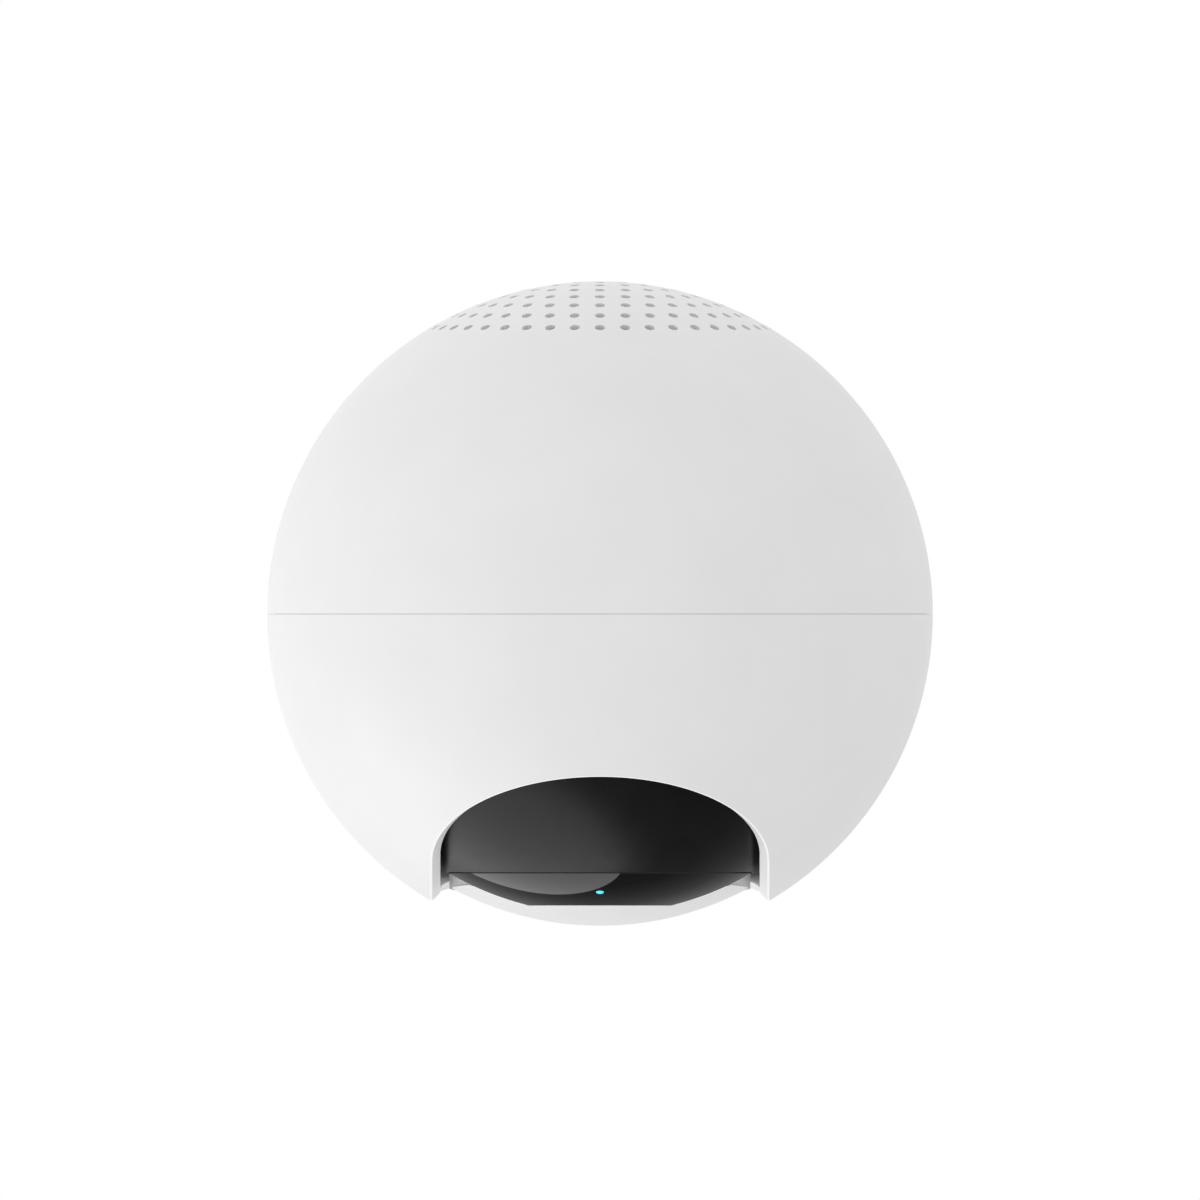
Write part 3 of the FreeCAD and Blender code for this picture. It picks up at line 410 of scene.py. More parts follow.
def between(tree, factor, low, high, first=0.35, last=0.65):
    """A colour that runs from low to high as factor runs from first to last."""
    ramp = tree.nodes.new("ShaderNodeValToRGB")
    ramp.color_ramp.elements[0].position = first
    ramp.color_ramp.elements[1].position = last
    ramp.color_ramp.elements[0].color = (*low, 1)
    ramp.color_ramp.elements[1].color = (*high, 1)
    tree.links.new(factor, ramp.inputs["Fac"])
    return ramp.outputs["Color"]


def rescale(tree, factor, low, high):
    """A number that runs from low to high with factor."""
    node = tree.nodes.new("ShaderNodeMapRange")
    node.inputs["From Min"].default_value = 0.3
    node.inputs["From Max"].default_value = 0.7
    node.inputs["To Min"].default_value = low
    node.inputs["To Max"].default_value = high
    tree.links.new(factor, node.inputs["Value"])
    return node.outputs["Result"]


def bumps(tree, shader, height, strength, distance):
    node = tree.nodes.new("ShaderNodeBump")
    node.inputs["Strength"].default_value = strength
    node.inputs["Distance"].default_value = distance
    tree.links.new(height, node.inputs["Height"])
    tree.links.new(node.outputs["Normal"], shader.inputs["Normal"])


def surface(name, dark, light, rough, grain=2500.0, bump=0.1, metal=0.0, broad=60.0,
            coat=0.0, coat_rough=0.1, stretch=None):
    """A moulded, painted or metal finish with broad mottling and fine grain."""
    made, tree, shader, place = new_material(name)
    if stretch:
        mapping = tree.nodes.new("ShaderNodeMapping")
        mapping.inputs["Scale"].default_value = stretch
        tree.links.new(place, mapping.inputs["Vector"])
        place = mapping.outputs["Vector"]
    mottling = noise(tree, place, broad)
    tree.links.new(between(tree, mottling, dark, light), shader.inputs["Base Color"])
    wear = noise(tree, place, broad * WEAR_FINENESS)
    tree.links.new(rescale(tree, wear, rough[0], rough[1]), shader.inputs["Roughness"])
    if metal:
        shader.inputs["Metallic"].default_value = metal
    if coat:
        shader.inputs["Coat Weight"].default_value = coat
        shader.inputs["Coat Roughness"].default_value = coat_rough
    if bump:
        bumps(tree, shader, noise(tree, place, grain, detail=2.0), bump, GRAIN_DEPTH)
    return made


def white_plastic(name, dark, light, rough):
    """Moulded white whose rounded edges carry a painted highlight, a lighter white."""
    made = surface(name, dark, light, rough, grain=5200.0, bump=0.08)
    tree = made.node_tree
    shader = tree.nodes["Principled BSDF"]
    # the rim attribute marks the rounded edges that get the painted highlight
    rim = tree.nodes.new("ShaderNodeAttribute")
    rim.attribute_name = "rim"
    plain = shader.inputs["Base Color"].links[0].from_socket
    mix = tree.nodes.new("ShaderNodeMix")
    mix.data_type = "RGBA"
    mix.inputs["B"].default_value = PAINTED_EDGE_HIGHLIGHT
    tree.links.new(rim.outputs["Fac"], mix.inputs["Factor"])
    tree.links.new(plain, mix.inputs["A"])
    tree.links.new(mix.outputs["Result"], shader.inputs["Base Color"])
    return made


def shell_white(name):
    return white_plastic(name, (0.795, 0.795, 0.792), (0.815, 0.815, 0.812), (0.46, 0.54))


def cap_white(name):
    return white_plastic(name, (0.795, 0.795, 0.792), (0.815, 0.815, 0.812), (0.42, 0.5))


def cover_black(name):
    made = surface(name, (0.004, 0.004, 0.0045), (0.0065, 0.0065, 0.007), (0.27, 0.33),
                   grain=6000.0, bump=0.05)
    shader = made.node_tree.nodes["Principled BSDF"]
    shader.inputs["Specular IOR Level"].default_value = 0.36
    return made


def window_black(name):
    return surface(name, (0.004, 0.004, 0.0045), (0.006, 0.006, 0.0065), (0.012, 0.03),
                   bump=0.0)


def light_cyan(name):
    made, tree, shader, place = new_material(name)
    grain = noise(tree, place, 900.0)
    glow = between(tree, grain, (0.07, 0.76, 0.90), (0.11, 0.88, 0.99))
    tint = between(tree, grain, (0.02, 0.10, 0.12), (0.03, 0.13, 0.15))
    tree.links.new(tint, shader.inputs["Base Color"])
    tree.links.new(glow, shader.inputs["Emission Color"])
    shader.inputs["Emission Strength"].default_value = 0.9
    shader.inputs["Roughness"].default_value = 0.25
    return made


def cloth(name, dark, light, threads):
    """Woven cloth: two crossed sets of threads."""
    made, tree, shader, place = new_material(name)
    heights = []
    for direction in ("X", "Y"):
        wave = tree.nodes.new("ShaderNodeTexWave")
        wave.bands_direction = direction
        wave.inputs["Scale"].default_value = threads
        wave.inputs["Distortion"].default_value = 0.6
        tree.links.new(place, wave.inputs["Vector"])
        heights.append(wave.outputs["Fac"])
    weave = tree.nodes.new("ShaderNodeMath")
    weave.operation = "MAXIMUM"
    tree.links.new(heights[0], weave.inputs[0])
    tree.links.new(heights[1], weave.inputs[1])
    tint = between(tree, weave.outputs[0], dark, light, first=0.1, last=0.9)
    tree.links.new(tint, shader.inputs["Base Color"])
    shader.inputs["Roughness"].default_value = 0.9
    bumps(tree, shader, weave.outputs[0], 0.5, THREAD_DEPTH)
    return made


OWN_FINISHES = {
    "shell_white": shell_white,
    "cap_white": cap_white,
    "cover_black": cover_black,
    "window_black": window_black,
    "light_cyan": light_cyan,
}
CLOTHS = {
    "mesh_grey": dict(dark=(0.42, 0.42, 0.43), light=(0.62, 0.62, 0.63), threads=900.0),
    "cloth": dict(dark=(0.32, 0.2, 0.09), light=(0.5, 0.33, 0.16), threads=500.0),
}
SURFACES = {
    "frame_black": dict(dark=(0.016, 0.016, 0.017), light=(0.026, 0.026, 0.027),
                        rough=(0.5, 0.62), grain=1500.0, bump=0.3),
    "steel": dict(dark=(0.47, 0.47, 0.48), light=(0.6, 0.6, 0.61), rough=(0.26, 0.38),
                  metal=1.0, grain=1800.0, bump=0.12, stretch=(1.0, 1.0, 6.0)),
    "tin": dict(dark=(0.62, 0.62, 0.62), light=(0.74, 0.74, 0.73), rough=(0.14, 0.24),
                metal=1.0, bump=0.08),
    "ferrite": dict(dark=(0.04, 0.04, 0.045), light=(0.07, 0.07, 0.075), rough=(0.5, 0.65),
                    grain=1200.0, bump=0.35),
    "paper": dict(dark=(0.018, 0.018, 0.02), light=(0.035, 0.035, 0.037), rough=(0.75, 0.9),
                  grain=900.0, bump=0.6, broad=300.0),
    "rubber_black": dict(dark=(0.012, 0.012, 0.012), light=(0.02, 0.02, 0.02),
                         rough=(0.55, 0.7), bump=0.15),
    "rubber_white": dict(dark=(0.78, 0.78, 0.777), light=(0.82, 0.82, 0.817),
                         rough=(0.5, 0.6), grain=3000.0, bump=0.12),
    "foam_black": dict(dark=(0.012, 0.012, 0.013), light=(0.03, 0.03, 0.031),
                       rough=(0.8, 0.95), grain=1400.0, bump=0.6),
    "copper": dict(dark=(0.55, 0.2, 0.08), light=(0.75, 0.33, 0.14), rough=(0.2, 0.32),
                   metal=1.0, grain=900.0, bump=0.5, stretch=(0.2, 0.2, 6.0)),
    "board_green": dict(dark=(0.008, 0.07, 0.03), light=(0.015, 0.11, 0.05),
                        rough=(0.3, 0.42), broad=500.0, grain=900.0, bump=0.2, coat=0.4,
                        coat_rough=0.2),
    "nylon": dict(dark=(0.68, 0.67, 0.62), light=(0.78, 0.77, 0.72), rough=(0.4, 0.5),
                  bump=0.1),
    "cell_blue": dict(dark=(0.02, 0.08, 0.25), light=(0.03, 0.12, 0.34), rough=(0.25, 0.35),
                      grain=800.0, bump=0.15, coat=0.5),
    "wire_red": dict(dark=(0.35, 0.02, 0.015), light=(0.5, 0.04, 0.03), rough=(0.4, 0.5),
                     bump=0.1),
}


def material(slot_name):
    """The finish of a slot, made when it is first asked for."""
    if slot_name not in MATERIALS:
        if slot_name in SURFACES:
            MATERIALS[slot_name] = surface(slot_name, **SURFACES[slot_name])
        elif slot_name in CLOTHS:
            MATERIALS[slot_name] = cloth(slot_name, **CLOTHS[slot_name])
        else:
            MATERIALS[slot_name] = OWN_FINISHES[slot_name](slot_name)
    return MATERIALS[slot_name]


def finish_cad_nodes():
    """Gives every CAD node the procedural finish of its record slot."""
    for row in frame["record"]["subparts"]:
        mesh = nodes[row["node"]].data
        mesh.materials.clear()
        mesh.materials.append(material(row["material_slot"]))


# ------------------------------------------------------------ opening shape

def cut_section(radius_in, radius_out, rounding, steps=OPENING_ROUND_STEPS):
    """The cut wall of the opening with its two rounded edges.

    Returns (across, down, normal across, normal down) from the outer ball to
    the inner one, in a plane that holds the axis of the cone.
    """
    slope = np.array((OPENING_FLARE, 1.0)) / math.hypot(OPENING_FLARE, 1.0)
    solid = np.array((slope[1], -slope[0]))
    base = np.array((OPENING_RADIUS, OPENING_LEVEL))

    def centre_at(reach):
        start = base + solid * rounding
        half = start @ slope
        shift = -half + math.sqrt(half * half - start @ start + reach * reach)
        return start + slope * shift

    rows = []
    outer = centre_at(radius_out - rounding)
    inner = centre_at(radius_in + rounding)
    for centre, first, last in ((outer, unit(outer), -solid), (inner, -solid, -unit(inner))):
        for step in range(steps + 1):
            share = step / steps
            normal = unit(first * (1 - share) + last * share)
            point = centre + normal * rounding
            rows.append((point[0], point[1], normal[0], normal[1]))
    return rows


def opening_path(step=OPENING_STEP):
    """Axis and sideways directions all the way round the swept opening."""
    path = []

    def axis(tilt):
        return np.array((0.0, -math.sin(tilt), -math.cos(tilt)))

    def ahead(tilt):
        return np.array((0.0, -math.cos(tilt), math.sin(tilt)))

    side = np.array((1.0, 0.0, 0.0))
    half_turn = int(math.pi / step)
    sweep = int((OPENING_FRONT - OPENING_REAR) / step)
    for index in range(half_turn):
        turn = math.pi * index / half_turn
        path.append((axis(OPENING_FRONT),
                     side * math.cos(turn) + ahead(OPENING_FRONT) * math.sin(turn)))
    for index in range(sweep):
        tilt = OPENING_FRONT + (OPENING_REAR - OPENING_FRONT) * index / sweep
        path.append((axis(tilt), -side))
    for index in range(half_turn):
        turn = math.pi + math.pi * index / half_turn
        path.append((axis(OPENING_REAR),
                     side * math.cos(turn) + ahead(OPENING_REAR) * math.sin(turn)))
    for index in range(sweep):
        tilt = OPENING_REAR + (OPENING_FRONT - OPENING_REAR) * index / sweep
        path.append((axis(tilt), side))
    return path


def in_opening(directions, half_angle):
    """Which directions lie within the swept opening, at a half angle."""
    tilt = np.arctan2(-directions[:, 1], -directions[:, 2])
    nearest = np.clip(tilt, OPENING_REAR, OPENING_FRONT)
    axis = np.stack((np.zeros(len(nearest)), -np.sin(nearest), -np.cos(nearest)), 1)
    return (directions * axis).sum(1) > math.cos(half_angle)


# -------------------------------------------------------------- outer ball

def hole_axes():
    axes = []
    for ring in range(HOLE_RINGS + 1):
        count = max(1, HOLES_PER_RING * ring)
        tilt = HOLE_STEP * ring
        for index in range(count):
            turn = -math.pi / 2 + index * 2 * math.pi / count
            axes.append((math.sin(tilt) * math.cos(turn), math.sin(tilt) * math.sin(turn),
                         math.cos(tilt)))
    return np.array(axes)


def rear_outline(half_width, half_height, level, count=REAR_SIDES):
    """A flat-sided oval in the XZ plane, with its outward directions."""
    run = half_width - half_height
    across = []
    away = []
    for index in range(count):
        turn = 2 * math.pi * (index + 0.5) / count
        shift = run if math.cos(turn) > 0 else -run
        across.append((shift + half_height * math.cos(turn),
                       level + half_height * math.sin(turn)))
        away.append((math.cos(turn), 0.0, math.sin(turn)))
    return np.array(across), np.array(away)


def on_rear(across, ball):
    """Points of an XZ outline carried back onto a ball."""
    depth = np.sqrt(ball ** 2 - (across ** 2).sum(1))
    return np.stack((across[:, 0], depth, across[:, 1]), 1)


def over_ball(points, away):
    """The directions of away, laid over the ball at those points."""
    normal = unit(points)
    return unit(away - (away * normal).sum(1, keepdims=True) * normal)


def sound_holes(skin, axes):
    """Walls of the sound holes; returns their loops on the two balls."""
    outer_loops = []
    inner_loops = []
    for axis in axes:
        corner, away = circle_about(axis, HOLE_RADIUS, SHELL, HOLE_SIDES)
        into = np.repeat(-axis[None, :], HOLE_SIDES, 0)
        first, last, wall_normal = edge_band(skin, corner, over_ball(corner, away), into,
                                             HOLE_ROUND, SHELL, HOLE_ROUND_STEPS)
        outer_loops.append(first)
        bottom, away = circle_about(axis, HOLE_RADIUS, SHELL_INNER, HOLE_SIDES)
        skin.add_rows([last, bottom], [wall_normal, wall_normal])
        inner_loops.append(bottom)
    return outer_loops, inner_loops


def rear_holes(skin):
    """Walls of the button's and the inlet's holes; returns their loops."""
    outer_loops = []
    inner_loops = []
    for half_width, half_height, level in REAR_CUTS:
        across, away = rear_outline(half_width, half_height, level)
        corner = on_rear(across, SHELL)
        into = np.repeat([(0.0, -1.0, 0.0)], len(corner), 0)
        first, last, wall_normal = edge_band(skin, corner, over_ball(corner, away), into,
                                             REAR_ROUND, SHELL)
        outer_loops.append(first)
        bottom = on_rear(across, SHELL_INNER)
        skin.add_rows([last, bottom], [wall_normal, wall_normal])
        inner_loops.append(bottom)
    return outer_loops, inner_loops


def outside_holes(directions, axes):
    """Which directions of the upper half lie in none of its holes."""
    keep = directions[:, 2] > 0
    near_top = directions[:, 2] > math.cos(HOLE_STEP * (HOLE_RINGS + 1))
    nearest = np.full(len(directions), -1.0)
    nearest[near_top] = (directions[near_top] @ axes.T).max(1)
    keep &= nearest < math.cos(math.asin(HOLE_RADIUS / SHELL))
    for half_width, half_height, level in REAR_CUTS:
        run = np.clip(np.abs(directions[:, 0]) * SHELL - (half_width - half_height), 0, None)
        reach = np.hypot(run, directions[:, 2] * SHELL - level)
        keep &= ~((reach < half_height) & (directions[:, 1] > 0))
    return keep


def upper_shell():
    """Upper half of the outer ball, down to its side of the seam."""
    skin = Skin()
    axes = hole_axes()
    sound_outer, sound_inner = sound_holes(skin, axes)
    rear_outer, rear_inner = rear_holes(skin)
    edge = SEAM_HALF + SEAM_ROUND
    rebate_top = TONGUE_RISE + TONGUE_PLAY
    inner_edge = math.sqrt(SHELL_INNER ** 2 - rebate_top ** 2)
    rim_outer = level_ring(math.sqrt(SHELL ** 2 - edge ** 2), SHELL, SEAM_SIDES, 1)
    rim_inner = level_ring(inner_edge, SHELL_INNER, SEAM_SIDES, 1)

    def outer_part(directions):
        return outside_holes(directions, axes) & (directions[:, 2] > edge / SHELL)

    def inner_part(directions):
        above = directions[:, 2] > rebate_top / SHELL_INNER
        return outside_holes(directions, axes) & above

    ball_patch(skin, SHELL, [rim_outer] + sound_outer + rear_outer, outer_part,
               SHELL_SPACING, 1)
    ball_patch(skin, SHELL_INNER, [rim_inner] + sound_inner + rear_inner, inner_part,
               UPPER_INNER_SPACING, 1, -1)
    wall = TONGUE_OUTER + TONGUE_PLAY
    lathe(skin, round_arc(SHELL - SEAM_ROUND, edge, SEAM_ROUND, 0, -90), SEAM_SIDES)
    runs = (((SHELL - SEAM_ROUND, SEAM_HALF), (wall, SEAM_HALF), (0, -1)),
            ((wall, SEAM_HALF), (wall, rebate_top), (-1, 0)),
            ((wall, rebate_top), (inner_edge, rebate_top), (0, -1)))
    for start, end, normal in runs:
        lathe(skin, flat_run(start, end, normal), SEAM_SIDES)
    skin.build("upper_shell_skin", "shell_white", "head", "upper_shell")


def opening_walls(skin):
    """Cut wall of the opening; returns its section and its rows of points."""
    section = cut_section(SHELL_INNER, SHELL, OPENING_ROUND)
    path = opening_path()
    rows = []
    normals = []
    for across, down, normal_across, normal_down in section:
        rows.append([axis * down + side * across for axis, side in path])
        normals.append([axis * normal_down + side * normal_across for axis, side in path])
    half = len(section) // 2
    # both rounded edges of the cut wall get the painted highlight (rim=1.0)
    skin.add_rows(rows[:half], normals[:half], rim=1.0)
    skin.add_rows(rows[half - 1:half + 1], normals[half - 1:half + 1])
    skin.add_rows(rows[half:], normals[half:], rim=1.0)
    return section, rows


def lower_shell():
    """Lower half of the outer ball, with the opening, the seam and the tongue."""
    skin = Skin()
    section, rows = opening_walls(skin)
    half_outer = math.atan2(section[0][0], section[0][1])
    half_inner = math.atan2(section[-1][0], section[-1][1])
    edge = SEAM_HALF + SEAM_ROUND
    inner_edge = math.sqrt(SHELL_INNER ** 2 - SEAM_HALF ** 2)
    rim_outer = level_ring(math.sqrt(SHELL ** 2 - edge ** 2), SHELL, SEAM_SIDES, -1)
    rim_inner = level_ring(inner_edge, SHELL_INNER, SEAM_SIDES, -1)

    def outer_part(directions):
        return (directions[:, 2] < -edge / SHELL) & ~in_opening(directions, half_outer)

    def inner_part(directions):
        below = directions[:, 2] < -SEAM_HALF / SHELL_INNER
        return below & ~in_opening(directions, half_inner)

    ball_patch(skin, SHELL, [rim_outer, rows[0]], outer_part, SHELL_SPACING, -1)
    ball_patch(skin, SHELL_INNER, [rim_inner, rows[-1]], inner_part, LOWER_INNER_SPACING,
               -1, -1)
    lathe(skin, round_arc(SHELL - SEAM_ROUND, -edge, SEAM_ROUND, 0, 90), SEAM_SIDES)
    floor = SHELL - SEAM_DEPTH
    runs = (((SHELL - SEAM_ROUND, -SEAM_HALF), (floor, -SEAM_HALF), (0, 1)),
            ((floor, -SEAM_HALF), (floor, SEAM_LIP), (1, 0)),
            ((floor, SEAM_LIP), (TONGUE_OUTER, SEAM_LIP), (0, 1)),
            ((TONGUE_OUTER, SEAM_LIP), (TONGUE_OUTER, TONGUE_RISE), (1, 0)),
            ((TONGUE_OUTER, TONGUE_RISE), (SHELL_INNER, TONGUE_RISE), (0, 1)),
            ((SHELL_INNER, TONGUE_RISE), (inner_edge, -SEAM_HALF), (-1, 0)))
    for start, end, normal in runs:
        lathe(skin, flat_run(start, end, normal), SEAM_SIDES)
    skin.build("lower_shell_skin", "shell_white", "head", "lower_shell")


# -------------------------------------------------------------- inner ball

def core_cover():
    """Satin zone of the inner ball, its floor, and the ears of the pivots."""
    skin = Skin()
    low = COVER_LOW + COVER_ROUND
    centre_r = math.sqrt((CORE - COVER_ROUND) ** 2 - low ** 2)
    lathe(skin, round_arc(centre_r, low, COVER_ROUND, -90,
                          math.degrees(math.atan2(low, centre_r))))
    start = low * CORE / (CORE - COVER_ROUND)
    lathe(skin, ball_arc(CORE, start, COVER_RIM, COVER_STEPS))
    rim_outer = math.sqrt(CORE ** 2 - COVER_RIM ** 2)
    rim_inner = math.sqrt(CORE_INNER ** 2 - COVER_RIM ** 2)
    lathe(skin, flat_run((rim_outer, COVER_RIM), (rim_inner, COVER_RIM), (0, 1)))
    lathe(skin, ball_arc(CORE_INNER, COVER_FLOOR, COVER_RIM, COVER_INNER_STEPS, -1))
    inner_floor = math.sqrt(CORE_INNER ** 2 - COVER_FLOOR ** 2)
    lathe(skin, flat_run((inner_floor, COVER_FLOOR), (CABLE_HOLE, COVER_FLOOR), (0, 1)))
    lathe(skin, flat_run((CABLE_HOLE, COVER_FLOOR), (CABLE_HOLE, COVER_LOW), (-1, 0)))
    lathe(skin, flat_run((CABLE_HOLE, COVER_LOW), (centre_r, COVER_LOW), (0, -1)))
    crease_floor(skin)
    for side in (-1, 1):
        ear(skin, side, EAR_HALF)
    skin.build("core_cover_skin", "cover_black", "base", "core_cover")


def crease_floor(skin, count=PLATE_STEPS):
    """Dark strip behind the thin gap between the cover and the window."""
    radius = math.sqrt(CORE ** 2 - COVER_LOW ** 2) - CREASE_INSET
    reach = math.acos(FRONT_CUT / radius)
    turns = np.linspace(-reach, reach, count)
    outwards = np.stack((np.sin(turns), -np.cos(turns), 0 * turns), 1)
    upper = outwards * radius + np.array((0, 0, COVER_LOW))
    skin.add_rows([upper, upper - np.array((0, 0, CREASE_DEEP))], [outwards] * 2,
                  closed=False)


def behind_window(radius, inset=0.0, count=PLATE_STEPS):
    """Level arc about the Z axis, round the back from one end of the window to
    the other, and on to the front by the inset."""
    reach = math.asin((FRONT_CUT + inset) / radius)
    turns = np.linspace(-reach, math.pi + reach, count)
    return np.stack((radius * np.cos(turns), radius * np.sin(turns), 0 * turns), 1)


def cover_underside():
    """White plate under the cover, and the wall that closes the recess."""
    skin = Skin()
    neck = behind_window(CAP_NECK, PLATE_INSET)
    brim = behind_window(math.sqrt(CORE ** 2 - COVER_LOW ** 2) - PLATE_INSET, PLATE_INSET)
    low = np.array((0, 0, COVER_LOW - PLATE_THICK))
    high = np.array((0, 0, COVER_LOW))
    skin.add_rows([neck + low, brim + low], [[(0, 0, -1)] * len(brim)] * 2, closed=False)
    skin.add_rows([brim + low, brim + high], [brim, brim], closed=False)
    wall = behind_window(RECESS_WALL)
    foot_line = wall.copy()
    foot_line[:, 2] = cap_top(wall[:, 1])
    skin.add_rows([foot_line, wall + np.array((0, 0, WINDOW_HIGH))], [wall, wall],
                  closed=False)
    skin.build("cover_underside", "cap_white", "base")


def ear(skin, side, half, steps=EAR_STEPS):
    """A tab of the inner ball that rises to one pivot."""
    runs = np.linspace(-half, half, steps + 1)
    rises = np.linspace(COVER_RIM - EAR_SINK, half, steps + 1)
    grids = {}
    for radius, outward in ((CORE, 1), (CORE_INNER, -1)):
        grid = np.array([[(side * math.sqrt(radius ** 2 - y * y - z * z), y, z)
                          for y in runs] for z in rises])
        skin.add_rows(grid, outward * unit(grid), closed=False)
        grids[radius] = grid
    borders = ((grids[CORE][:, 0], grids[CORE_INNER][:, 0], (0, -1, 0)),
               (grids[CORE][:, -1], grids[CORE_INNER][:, -1], (0, 1, 0)),
               (grids[CORE][-1], grids[CORE_INNER][-1], (0, 0, 1)))
    for outer, inner, normal in borders:
        skin.add_rows([outer, inner], [[normal] * len(outer)] * 2, closed=False)


def notch_edge(radius, cut, low, high, step=NOTCH_STEP):
    """The outline, on a ball, of what is in front of a plane and between two
    heights, as its lower, right, upper and left stretches."""
    def arc_points(z):
        reach = math.sqrt(radius ** 2 - z ** 2)
        limit = math.acos(cut / reach)
        count = max(NOTCH_LEAST_STEPS, int(2 * limit * reach / step))
        return [(reach * math.sin(a), -reach * math.cos(a), z)
                for a in np.linspace(-limit, limit, count)]

    lower = arc_points(low)
    upper = arc_points(high)[::-1]
    flat_radius = math.sqrt(radius ** 2 - cut ** 2)
    first = math.asin(low / flat_radius)
    last = math.asin(high / flat_radius)
    count = max(NOTCH_LEAST_STEPS, int((last - first) * flat_radius / step))
    rise = np.linspace(first, last, count)[1:-1]
    right = [(flat_radius * math.cos(a), -cut, flat_radius * math.sin(a)) for a in rise]
    left = [(-x, y, z) for x, y, z in right][::-1]
    return np.array(lower), np.array(right), np.array(upper), np.array(left)


def cap_top(y):
    """Level of the cap's flat top, which rises gently to the front."""
    return CAP_EDGE - CAP_RISE * y


def cap_notch(skin):
    """Floor and rear wall of the notch, with their rounded edges; returns the
    rows of the edges that lie on the ball."""
    top = cap_top(-FRONT_CUT)
    lower, right, _, left = notch_edge(CORE, FRONT_CUT, WINDOW_LOW, top)
    floor_rows = open_edge(skin, lower, over_ball(lower, np.array([(0.0, 0.0, -1.0)])),
                           unit(-lower * (1, 1, 0)), CAP_ROUND)
    skin.faces_of([tuple(p) for p in floor_rows[-1]], (0, 0, 1))
    cheeks = []
    outer_rows = []
    for cheek in (right, left):
        rows = open_edge(skin, cheek, over_ball(cheek, np.array([(0.0, 1.0, 0.0)])),
                         unit(-cheek * (1, 0, 1)), CAP_ROUND)
        cheeks.append(rows[-1])
        outer_rows.append(rows[0])
    neck_front = math.sqrt(CAP_NECK ** 2 - FRONT_CUT ** 2)
    ridge = [(neck_front, -FRONT_CUT, top), (neck_front, -FRONT_CUT, COVER_LOW)]
    mirrored = [(-x, y, z) for x, y, z in reversed(ridge)]
    wall = list(cheeks[0]) + ridge + mirrored + list(cheeks[1])
    skin.faces_of([(p[0], -FRONT_CUT, p[2]) for p in wall], (0, -1, 0))
    return floor_rows[0], outer_rows[0], outer_rows[1]


def cap_outside(skin, outline):
    """Outside of the cap on the ball, round the notch and down to the foot."""
    foot_rim = level_ring(FOOT_RADIUS, CORE, FOOT_SIDES, -1)

    def part(directions):
        point = directions * CORE
        notch = (point[:, 1] < -FRONT_CUT) & (point[:, 2] > WINDOW_LOW)
        foot = np.hypot(point[:, 0], point[:, 1]) < FOOT_RADIUS
        return (point[:, 2] < cap_top(point[:, 1])) & ~notch & ~foot

    ball_patch(skin, CORE, [outline, foot_rim], part, CAP_SPACING, -1)
    level = -math.sqrt(CORE ** 2 - FOOT_RADIUS ** 2)
    lathe(skin, flat_run((FOOT_RADIUS, level), (FOOT_RADIUS, FOOT_LEVEL), (-1, 0)),
          FOOT_SIDES)
    lathe(skin, flat_run((FOOT_RADIUS, FOOT_LEVEL), (AXIS_GAP, FOOT_LEVEL), (0, -1)),
          FOOT_SIDES)


def cap_neck(skin, rim):
    """Gently sloped top of the cap behind the notch, and its round neck."""
    shares = np.linspace(0, 1, len(rim))
    reach = math.asin(FRONT_CUT / CAP_NECK)
    turns = math.pi + reach - shares * (math.pi + 2 * reach)
    low = np.stack((CAP_NECK * np.cos(turns), CAP_NECK * np.sin(turns),
                    cap_top(CAP_NECK * np.sin(turns))), 1)
    outwards = low * (1, 1, 0)
    up = np.array([(0.0, CAP_RISE, 1.0)] * len(rim))
    skin.add_rows([rim, low], [up, up], closed=False)
    skin.add_rows([low, outwards + np.array((0, 0, COVER_LOW))], [outwards, outwards],
                  closed=False)


def cap_well(skin):
    """Top of the neck under the cover, and the well for the light inside it."""
    turns = np.arange(CAP_TOP_SIDES) * 2 * math.pi / CAP_TOP_SIDES
    edge = []
    for turn in turns:
        radius = CAP_NECK
        if math.sin(turn) < 0:
            radius = min(CAP_NECK, FRONT_CUT / -math.sin(turn))
        edge.append((radius * math.cos(turn), radius * math.sin(turn), COVER_LOW))
    well = [(WELL_RADIUS * math.cos(turn), WELL_RADIUS * math.sin(turn), COVER_LOW)
            for turn in turns]
    skin.add_rows([edge, well], [[(0, 0, 1)] * CAP_TOP_SIDES] * 2)
    lathe(skin, flat_run((WELL_RADIUS, COVER_LOW), (WELL_RADIUS, WELL_LEVEL), (-1, 0)),
          FOOT_SIDES)
    lathe(skin, flat_run((WELL_RADIUS, WELL_LEVEL), (AXIS_GAP, WELL_LEVEL), (0, 1)),
          FOOT_SIDES)


def core_cap():
    """White cap of the inner ball, cut away in front for the window."""
    skin = Skin()
    floor_edge, right_edge, left_edge = cap_notch(skin)
    rim = cap_rim()
    cap_outside(skin, np.concatenate((rim, right_edge[::-1], floor_edge[::-1],
                                      left_edge[::-1])))
    cap_neck(skin, rim)
    cap_well(skin)
    skin.build("core_cap_skin", "cap_white", "base", "core_cap")


def cap_rim(count=CAP_RIM_STEPS):
    """The upper edge of the cap on the ball, from the left round the back to
    the right."""
    top = cap_top(-FRONT_CUT + CAP_ROUND)
    start = math.sqrt(CORE ** 2 - top ** 2 - (FRONT_CUT - CAP_ROUND) ** 2)
    first = math.atan2(-FRONT_CUT + CAP_ROUND, -start)
    last = math.atan2(-FRONT_CUT + CAP_ROUND, start)
    rim = []
    for turn in np.linspace(first + 2 * math.pi, last, count):
        reach = CAP_RIM_GUESS
        for _ in range(CAP_RIM_ROUNDS):
            level = cap_top(reach * math.sin(turn))
            reach = math.sqrt(CORE ** 2 - level ** 2)
        rim.append((reach * math.cos(turn), reach * math.sin(turn), level))
    return np.array(rim)


